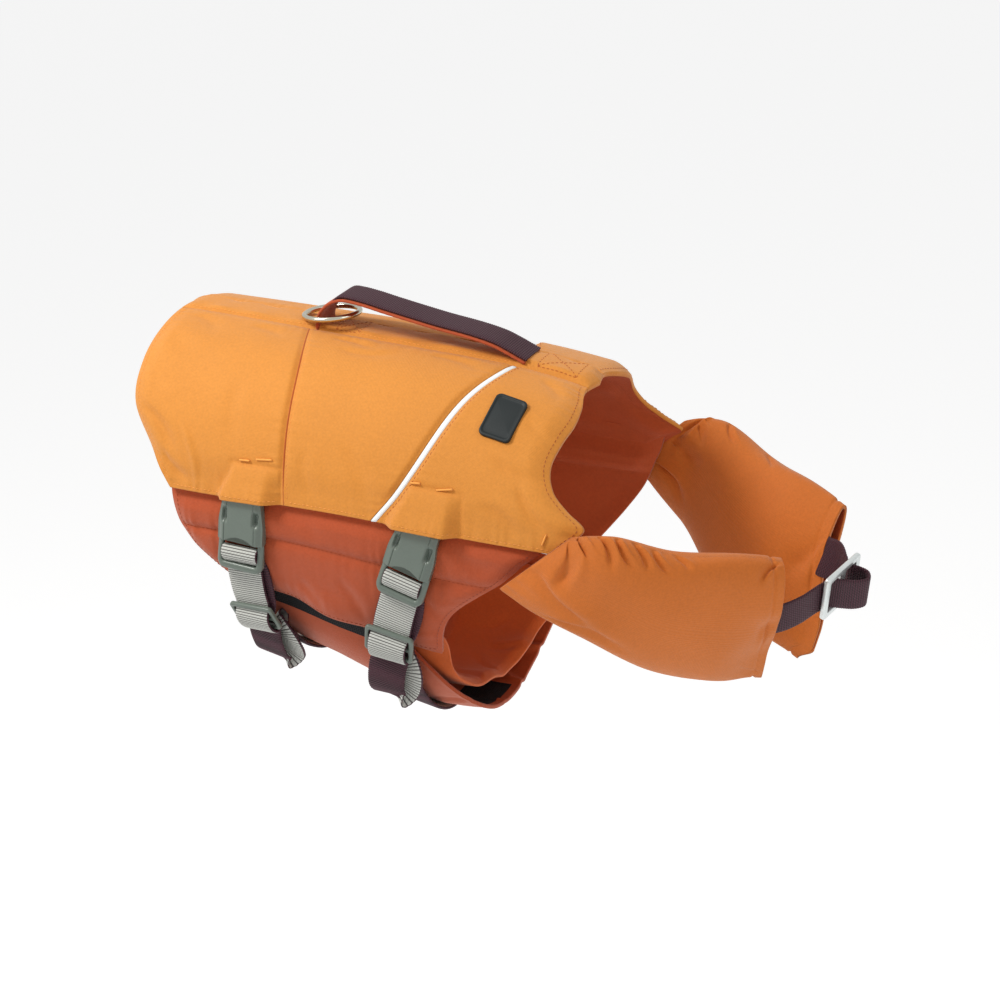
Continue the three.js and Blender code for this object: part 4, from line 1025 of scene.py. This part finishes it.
# The socket's slots and the arch at its end, with half widths across, along and the depth
SOCKET_SLOT = {"across": 10.6, "half": 1.7, "at": 2.4, "long": 4.4, "deep": 3.2}
SOCKET_ARCH = {"rise": 3.4, "half": 9.8, "start": -6, "reach": 8.7}


def buckle_socket(name, axes, replaces):
    """The socket's body along its length, with a slot in each rail and an arch over the webbing."""
    half, length = BUCKLE["width"] / 2, BUCKLE["socket"]
    steps = [np.linspace(-0.5, -0.45, 8), np.linspace(-0.44, 0.44, 80), np.linspace(0.45, 0.5, 6)]
    y = np.concatenate(steps) * length
    end = np.clip((length / 2 - np.abs(y)) / 1.3, 0, 1)
    rounding = np.sqrt(1 - (1 - end) ** 2)
    width = half - 2.1 * smooth(-4, 13, y) - 0.8 * (1 - rounding)
    thick = BUCKLE["thick"] / 2 * (0.8 + 0.2 * rounding) * (1 - 0.14 * smooth(-2, 14, y))
    across, height = socket_section()
    px = width[:, None] * across
    pz = thick[:, None] * height
    rows = np.broadcast_to(y[:, None], px.shape)
    off_slot = (np.abs(px) - SOCKET_SLOT["across"]) / SOCKET_SLOT["half"]
    slot = np.exp(-(off_slot ** 4) - ((rows - SOCKET_SLOT["at"]) / SOCKET_SLOT["long"]) ** 4)
    pz = pz - SOCKET_SLOT["deep"] * slot * (height > 0)
    arch = SOCKET_ARCH["rise"] * np.clip(1 - (px / SOCKET_ARCH["half"]) ** 2, 0, 1)
    arch = arch * np.clip((SOCKET_ARCH["start"] - rows) / SOCKET_ARCH["reach"], 0, 1)
    points = np.stack([px, rows + arch + BUCKLE["joint"] + length / 2, pz], -1)
    uv = points[..., :2].reshape(-1, 2)
    faces = tube_faces(len(y), len(across))
    piece = add_piece(name, placed(points.reshape(-1, 3), *axes), faces, [PLASTIC], None, uv, replaces)
    piece.data.set_sharp_from_angle(angle=math.radians(50))


def buckle_latch(name, axes, replaces):
    """The latch's frame below the socket; its upper end goes into the socket."""
    hidden = 6
    height = BUCKLE["latch"] + hidden
    bottom = BUCKLE["joint"] - SEAM_GAP - BUCKLE["latch"]
    middle = bottom + height / 2
    low = bottom + BUCKLE["bar"]
    high = BUCKLE["joint"] + hidden - 2
    window = rounded_outline(WEBBING_WIDTH - 1, high - low, 1.2, (0, (high + low) / 2), 4)
    outline = rounded_outline(BUCKLE["width"] + 0.6, height, 5.5, (0, middle), 8)

    def shape(points):
        thinner = smooth(BUCKLE["joint"] - 1, BUCKLE["joint"], points[:, 1])
        points[:, 2] *= 1 - 0.5 * thinner
        points[:, 2] -= 0.9 * smooth(12, 15.5, np.abs(points[:, 0])) * (points[:, 2] > 0)
        return points

    hard_plate(name, [outline, window], BUCKLE["frame"] + 1, 1.7, axes, PLASTIC, replaces, shape)


def belly_strap(word, rows):
    line = StrapLine(rows)
    axes = line.hard(BUCKLE["down"], BUCKLE["lift"], BUCKLE["tilt"])
    buckle_socket(f"buckle_socket_{word}_body", axes, [f"buckle_socket_{word}"])
    buckle_latch(f"buckle_latch_{word}_frame", axes, [f"buckle_latch_{word}"])
    outlines = slider_outlines(SLIDER["width"], SLIDER["height"], SLIDER["bar"])
    hard_plate(f"strap_slider_{word}_frame", outlines, SLIDER["thick"] + 0.4, 1.0,
               line.hard(SLIDER["down"], SLIDER["lift"]), PLASTIC, [f"strap_slider_{word}"])
    for name, path, faces, replaces in (
        ("webbing", STRAP_PATH, [GREY_WEBBING, PURPLE, PURPLE], [f"belly_strap_{word}"]),
        ("slack", SLACK_PATH, [PURPLE, GREY_WEBBING, PURPLE], ()),
    ):
        across = line.sideways(path["down"])
        points = line.at(path["down"], path["lift"]) + across * path["slip"][:, None]
        thick = WEBBING_THICK + BELLY_STRAP_RELIEF
        webbing(f"belly_strap_{word}_{name}", points, across, WEBBING_WIDTH, thick, faces, replaces,
                GREY_RIB, 0.4)


# The handle's rear root goes down through the ring and under the spine band's cloth
HANDLE = table(
    "x rise",
    (-46, -5), (-46.8, -2.4), (-46.6, 1), (-45.6, 4.6), (-43.6, 8.2), (-40.6, 11.6), (-36.4, 14.8),
    (-31, 16.8), (-25, 17.2), (-14, 16.2), (-2, 14.4), (16, 11.9), (34, 9.6), (54, 7.8), (70, 5.4),
    (80, 2.4), (87, 0), (92, -1.6),
)
HANDLE_TOP_START = 6
SPINE_TOP = 6.9
HANDLE_WIDTH = 26
HANDLE_LAYER = 1.8
LEAD_RING = {"x": -42, "radius": 15.8, "wire": 3.4, "long": 1.12, "rise": 3.7, "lean": -0.12}


def spine_height(x):
    return torso(x, 0 * x)[..., 2] + SPINE_TOP


def handle():
    rows = np.stack([HANDLE["x"], 0 * HANDLE["x"], spine_height(HANDLE["x"]) + HANDLE["rise"]], 1)
    across = np.tile([0.0, 1.0, 0.0], (len(rows), 1))
    steps = np.arange(len(rows))
    along = unit(rows[np.minimum(steps + 1, len(rows) - 1)] - rows[np.maximum(steps - 1, 0)])
    raised = rows + np.cross(along, across) * (HANDLE_LAYER + SEAM_GAP)
    raised[HANDLE_TOP_START] = rows[HANDLE_TOP_START]
    raised, across_top = raised[HANDLE_TOP_START:], across[HANDLE_TOP_START:]
    webbing("handle_lining_cloth", rows, across, HANDLE_WIDTH, HANDLE_LAYER + 0.5, [RUST] * 3,
            ["handle_lining"], 5, 0.12)
    webbing("handle_top_webbing", raised, across_top, HANDLE_WIDTH - 1, HANDLE_LAYER, [PURPLE] * 3,
            ["handle_webbing"], PLUM_RIB, 0.32)


def lead_ring():
    rings, sides = 96, 20
    round_ring = np.arange(rings) / rings * 2 * np.pi
    round_wire = np.arange(sides) / sides * 2 * np.pi
    a, b = np.meshgrid(round_ring, round_wire, indexing="ij")
    reach = LEAD_RING["radius"] + LEAD_RING["wire"] / 2 * np.cos(b)
    x = LEAD_RING["long"] * reach * np.cos(a)
    y = reach * np.sin(a)
    z = LEAD_RING["wire"] / 2 * np.sin(b)
    c, s = math.cos(LEAD_RING["lean"]), math.sin(LEAD_RING["lean"])
    height = spine_height(np.array(float(LEAD_RING["x"]))) + LEAD_RING["rise"]
    middle = np.array([LEAD_RING["x"], 0, height])
    points = middle + np.stack([x * c + z * s, y, z * c - x * s], -1)
    uv = np.stack([a * LEAD_RING["radius"], b * LEAD_RING["wire"]], -1).reshape(-1, 2)
    faces = tube_faces(rings, sides, True)
    add_piece("lead_ring_metal", points.reshape(-1, 3), faces, [RING_METAL], None, uv, ["lead_ring"])


PATCH = {"x": 98, "angle": 38, "width": 20, "height": 29, "tilt": 6, "lift": 8.9, "thick": 2, "corner": 3.2}
PATCH_MM_PER_DEGREE = 1.65
# The patch's section from its edge to its middle: a share of the outline and of the height
PATCH_SECTION = table(
    "share height",
    (1, 0), (1, 0.75), (0.985, 0.95), (0.95, 1), (0.9, 1), (0.87, 0.86), (0.85, 0.72), (0.82, 0.68),
    (0.7, 0.68), (0.55, 0.68), (0.4, 0.68), (0.25, 0.68), (0.1, 0.68),
)


def patch():
    """A bare moulded patch with a thin raised rim, laid over the shoulder."""
    outline = np.array(rounded_outline(PATCH["width"], PATCH["height"], PATCH["corner"], steps=10))
    tilt = math.radians(PATCH["tilt"])
    rings = []
    for share, height in zip(*PATCH_SECTION.values()):
        a, b = outline[:, 0] * share, outline[:, 1] * share
        x = PATCH["x"] + a * math.cos(tilt) + b * math.sin(tilt)
        angle = -PATCH["angle"] + (-a * math.sin(tilt) + b * math.cos(tilt)) / PATCH_MM_PER_DEGREE
        rings.append(lifted(x, angle, PATCH["lift"] - 0.6 + (PATCH["thick"] + 0.4) * height + 0 * x))
    points = np.stack(rings)
    uv = np.stack([outline * share for share in PATCH_SECTION["share"]]).reshape(-1, 2)
    faces = tube_faces(len(rings), len(outline))
    add_piece("patch_bare", points.reshape(-1, 3), faces, [RUBBER], None, uv, ["patch"])


COLLAR_SLIDER = {"width": 34.5, "height": 33, "bar": 4.4, "thick": 3.2}
SLIDER_MIDDLE = np.array([290.0, 2, -120])
SLIDER_ALONG = np.array([0.37, 0.88, 0.31])
SLIDER_UPRIGHT = np.array([0.16, -0.36, 0.92])
COLLAR_STRAP = table(
    "x y z twist",
    (262, -31, -132, 0), (272, -21.5, -129, 0), (280.7, -10.4, -124, 0), (286.1, -4.7, -122.2, 0),
    (292.7, -2.8, -122.5, 0), (300.5, -0.3, -122.7, 0), (305.9, 4, -121.7, 0), (304.2, 8.5, -119.6, 0),
    (298.5, 9.8, -118.1, 0), (292.2, 9.8, -117.1, 0), (288.6, 14.2, -114.8, 0.15),
    (284, 21, -113.5, 0.45), (279, 27, -114.5, 0.75), (271, 33.5, -116, 1),
)
SLEEVE_SEAT = {"gap": 0.4, "straight": 7, RIGHT: 1.5, LEFT: 17}


def sleeve_upright(side):
    one = np.array(1.0)
    return unit(collar_edge(side, one, "top") - collar_edge(side, one, "low"))


def sleeve_seat(side):
    one = np.array(1.0)
    path = collar_direction(side, one)
    start = collar_middle(side, one) + sleeve_upright(side) * SLEEVE_SEAT[side]
    slant = abs(float(sleeve_upright(side) @ path))
    deepest = SLEEVE_DEPTH - SLEEVE_SEAT["gap"] - WEBBING_WIDTH / 2 * slant / math.sqrt(1 - slant * slant)
    return [start - path * deepest, start - path * (deepest - SLEEVE_SEAT["straight"])]


def collar_strap():
    upward = unit(SLIDER_UPRIGHT)
    along = unit(SLIDER_ALONG - upward * (SLIDER_ALONG @ upward))
    forward = np.cross(along, upward)
    size = COLLAR_SLIDER
    outlines = slider_outlines(size["width"], size["height"], size["bar"])
    hard_plate("collar_slider_frame", outlines, size["thick"], 0.9,
               (SLIDER_MIDDLE, -upward, along, forward), ALUMINIUM, ["collar_slider"])
    left_up = upward * np.array([1, -1, 1])
    rows = np.stack([COLLAR_STRAP[c] for c in "xyz"], 1)
    twist = COLLAR_STRAP["twist"][:, None]
    across = unit(upward * (1 - twist) + left_up * twist)
    path = np.concatenate([sleeve_seat(RIGHT), rows, sleeve_seat(LEFT)[::-1]])
    right_up, left_end = sleeve_upright(RIGHT), sleeve_upright(LEFT)
    across = np.concatenate([[right_up, right_up], across, [left_end, left_end]])
    webbing("collar_strap_webbing", path, across, WEBBING_WIDTH, WEBBING_THICK + 0.2, [PURPLE] * 3,
            ["collar_strap"], PLUM_RIB, 0.28)


# Sewing

STITCH = {"length": 2.1, "pitch": 2.9, "radius": 0.24}


# A stitch's sections along it: where each lies, its share of the radius and how deep it sinks in
STITCH_SECTIONS = ((0, 0.35, 0.9), (0.22, 1, 0), (0.78, 1, 0), (1, 0.35, 0.9))
STITCH_RING = ((0, 1), (0.87, -0.35), (-0.87, -0.35))
STITCH_FACES = tube_faces(len(STITCH_SECTIONS), len(STITCH_RING))


def stitch_points(lines):
    """Small thread bumps along lines of points; each line also gives its outward normals."""
    radius, length = STITCH["radius"], STITCH["length"]
    points, faces = [], []
    for line, normals in lines:
        data = resampled(line, 0.7, normals)
        s = np.concatenate([[0], np.cumsum(np.linalg.norm(np.diff(data[:, :3], axis=0), axis=1))])
        for start in np.arange(0, s[-1] - length, STITCH["pitch"]):
            ends = [start + length * place for place, _, _ in STITCH_SECTIONS]
            row = np.stack([np.interp(ends, s, data[:, i]) for i in range(6)], 1)
            out = unit(row[:, 3:])
            along = unit(row[-1:, :3] - row[:1, :3])
            side = unit(np.cross(along, out))
            base = len(points)
            for k, (_, share, sink) in enumerate(STITCH_SECTIONS):
                for a, b in STITCH_RING:
                    height = b * radius * share - radius * sink
                    points.append(row[k, :3] + side[k] * a * radius * share + out[k] * height)
            faces += [[base + i for i in face] for face in STITCH_FACES]
    return np.array(points), faces


def seam_line(kind, word, downs, offset_from, inset):
    """A line of stitches on an upper panel, inset from its rear or front line."""
    side = SIDES[word]
    rear_rows, front_rows = PANELS[kind][:2]
    x = edge_at(rear_rows, downs) + inset if offset_from == "rear" else edge_at(front_rows, downs) - inset
    return surface_line(kind, side, x, side * downs)


def surface_line(kind, side, x, angle):
    lift = panel_lift(kind, side, x, angle)[1]
    return lifted(x, angle, lift + 0.08), outward(x, angle)


def hem_line(kind, word, inset):
    side = SIDES[word]
    rear_rows, front_rows = PANELS[kind][:2]
    down = HEM_ANGLE - inset / MM_PER_DEGREE
    start = float(edge_at(rear_rows, np.array(down))) + 4
    end = float(edge_at(front_rows, np.array(down))) - 4
    x = np.linspace(start, end, 120)
    return surface_line(kind, side, x, side * np.full(x.shape, down))


def flap_line(word, u, v):
    x, angle, (_, outer) = flap_places(word, np.asarray(u, float), np.asarray(v, float))
    return lifted(x, angle, outer + 0.08), outward(x, angle)


def thread_line(name, lines, radius, slot):
    """Continuous thick threads along lines of points."""
    sides = 8
    turn = np.arange(sides) / sides * 2 * np.pi
    points, faces = [], []
    for line, normals in lines:
        along = unit(np.gradient(line, axis=0))
        out = unit(normals)
        side = np.cross(along, out)
        ring = side[:, None] * np.cos(turn)[None, :, None] + out[:, None] * np.sin(turn)[None, :, None]
        base = sum(len(p) for p in points)
        points.append((line[:, None] + ring * radius).reshape(-1, 3))
        faces += [[base + i for i in face] for face in tube_faces(len(line), sides)]
    return add_piece(name, np.concatenate(points), faces, [slot])


# How far each line of stitches lies in from its seam or edge
INSET = {"waist": 2.4, "piping": 2.4, "neck": 3.4, "rear": 4, "hem": 2.2}
SPINE_SEWING_ANGLE = 6.4
# Bar tacks over the pockets and at the neck edge: a start and an end on the right side
BAR_TACKS = table(
    "x0 angle0 x1 angle1",
    (-62, 69.6, -55, 69.4), (-50.5, 68.6, -40, 68), (51.5, 67.2, 58, 66.8), (68.5, 68, 79, 66.6),
    (139, 76, 137, 80),
)
SPINE_BOXES = table("rear front half", (-35, -19, 6), (99, 124, 6.2))


def spine_line(x, angle):
    x, angle = np.asarray(x, float), np.asarray(angle, float)
    lift = spine_lift(x, angle, edge_at(REAR_EDGE, angle), edge_at(NECK_EDGE, angle))
    return lifted(x, angle, lift + 0.08), outward(x, angle)


def straight(x0, angle0, x1, angle1, count=60):
    return np.linspace(x0, x1, count), np.linspace(angle0, angle1, count)


def stitching():
    orange, dark, rust = [], [], []
    downs = np.linspace(SPINE_ANGLE + 1.5, HEM_ANGLE - 2, 160)
    for word, side in SIDES.items():
        orange.append(seam_line("middle_panel", word, downs, "rear", INSET["waist"]))
        dark.append(seam_line("shoulder_panel", word, downs, "rear", INSET["piping"]))
        dark.append(seam_line("shoulder_panel", word, downs, "front", INSET["neck"]))
        orange.append(seam_line("rear_panel", word, downs, "rear", INSET["rear"]))
        for kind in PANELS:
            orange.append(hem_line(kind, word, INSET["hem"]))
        share = np.linspace(0.01, 0.99, 200)
        for down in (QUILT_LINE, FLAP_HEM["low"]):
            rust.append(flap_line(word, share, np.full(200, down)))
        for along in (FLAP_HEM["front"], FLAP_HEM["rear"]):
            rust.append(flap_line(word, np.full(160, along), np.linspace(0.2, 0.97, 160)))
        x = np.linspace(-136, 84, 200)
        orange.append(spine_line(x, np.full(200, side * SPINE_SEWING_ANGLE)))
    for rear, front, half in zip(*SPINE_BOXES.values()):
        corners = [(rear, -half), (front, -half), (front, half), (rear, half), (rear, -half), (front, half),
                   (rear, half), (front, -half)]
        for (x0, a0), (x1, a1) in zip(corners[:-1], corners[1:]):
            dark.append(spine_line(*straight(x0, a0, x1, a1)))
    x, angle = straight(POCKETS["front"][1], -68.5, POCKETS["front"][1], -81.5)
    orange.append(surface_line("shoulder_panel", RIGHT, x, angle))
    for name, lines, thread in (("orange_sewing", orange, ORANGE_THREAD), ("seam_sewing", dark, DARK_THREAD),
                                ("rust_sewing", rust, RUST_THREAD)):
        points, faces = stitch_points(lines)
        add_piece(name, points, faces, [thread])
    tacks = []
    for x0, a0, x1, a1 in zip(*BAR_TACKS.values()):
        x, angle = straight(x0, -a0, x1, -a1, 12)
        kind = "rear_panel" if x0 < -35 else "shoulder_panel"
        points, normals = surface_line(kind, RIGHT, x, angle)
        tacks.append((points + unit(normals) * 0.45, normals))
    thread_line("bar_tacks", tacks, 0.6, ORANGE_THREAD)
    seams = []
    for word, side in SIDES.items():
        down = np.linspace(SPINE_ANGLE + 0.4, HEM_ANGLE, 160)
        x = edge_at(WAIST_SEAM, down)
        lift = panel_lift("middle_panel", side, x + 1.2, side * down)[1]
        seams.append((lifted(x, side * down, lift - 0.4), outward(x, side * down)))
    thread_line("waist_seam_thread", seams, 0.48, DARK_THREAD)


# Studio

# In metres, and degrees round and up from the right side
CAMERA = {"azimuth": 22, "elevation": 22, "distance": 1.6, "lens": 92.16, "sensor": 36,
          "target": (0.071, 0, -0.0966)}
FLOOR = {"z": -0.8, "half": 9, "color": 0.97, "roughness": 0.95, "glow": 0.2}
WORLD_STRENGTH = 0.58
LIGHTS = (
    {"name": "key_light", "place": (-0.66, -0.5, 0.84), "aim": (-0.1, -0.04, -0.06), "size": 0.36,
     "power": 5.4, "color": (1, 0.98, 0.95), "spread": 140},
    {"name": "side_light", "place": (0.9, -0.5, 0.6), "aim": (0.1, 0, -0.1), "size": 0.5,
     "power": 0.5, "color": (1, 1, 1), "spread": 120},
)


def camera():
    a, e = math.radians(CAMERA["azimuth"]), math.radians(CAMERA["elevation"])
    back = Vector((math.sin(a) * math.cos(e), -math.cos(a) * math.cos(e), math.sin(e)))
    data = bpy.data.cameras.new("camera")
    data.lens = CAMERA["lens"]
    data.sensor_width = CAMERA["sensor"]
    eye = bpy.data.objects.new("camera", data)
    eye.location = Vector(CAMERA["target"]) + back * CAMERA["distance"]
    eye.rotation_euler = back.to_track_quat("Z", "Y").to_euler()
    bpy.context.scene.collection.objects.link(eye)
    bpy.context.scene.camera = eye


def area_light(name, place, aim, size, power, color, spread):
    data = bpy.data.lights.new(name, "AREA")
    data.size = size
    data.energy = power
    data.color = color
    data.spread = math.radians(spread)
    light = bpy.data.objects.new(name, data)
    light.location = place
    light.rotation_euler = (Vector(place) - Vector(aim)).to_track_quat("Z", "Y").to_euler()
    bpy.context.scene.collection.objects.link(light)


def pale_floor():
    half = FLOOR["half"]
    mesh = bpy.data.meshes.new("floor")
    corners = [(x, y, FLOOR["z"]) for x, y in ((-half, -half), (half, -half), (half, half), (-half, half))]
    mesh.from_pydata(corners, [], [(0, 1, 2, 3)])
    floor = bpy.data.objects.new("floor", mesh)
    bpy.context.scene.collection.objects.link(floor)
    made, _, _, bsdf = material("pale_floor")
    bsdf.inputs["Base Color"].default_value = (*[FLOOR["color"]] * 3, 1)
    bsdf.inputs["Roughness"].default_value = FLOOR["roughness"]
    bsdf.inputs["Specular IOR Level"].default_value = 0.0
    bsdf.inputs["Emission Color"].default_value = (1, 1, 1, 1)
    bsdf.inputs["Emission Strength"].default_value = FLOOR["glow"]
    mesh.materials.append(made)


def studio():
    for light in LIGHTS:
        area_light(**light)
    world = bpy.data.worlds.new("studio")
    world.use_nodes = True
    background = world.node_tree.nodes["Background"]
    background.inputs["Color"].default_value = (1, 1, 1, 1)
    background.inputs["Strength"].default_value = WORLD_STRENGTH
    bpy.context.scene.world = world
    pale_floor()
    bpy.context.scene.view_settings.view_transform = "Standard"
    bpy.context.scene.view_settings.look = "Medium High Contrast"


camera()
for side_word in SIDES:
    for panel_kind in PANELS:
        upper_panel(panel_kind, side_word)
    piping(side_word)
    side_flap(side_word)
    collar_float(side_word)
spine_band()
belly_strap("rear", REAR_STRAP)
belly_strap("front", FRONT_STRAP)
belly_panel()
belly_pad()
handle()
lead_ring()
patch()
collar_strap()
stitching()
studio()
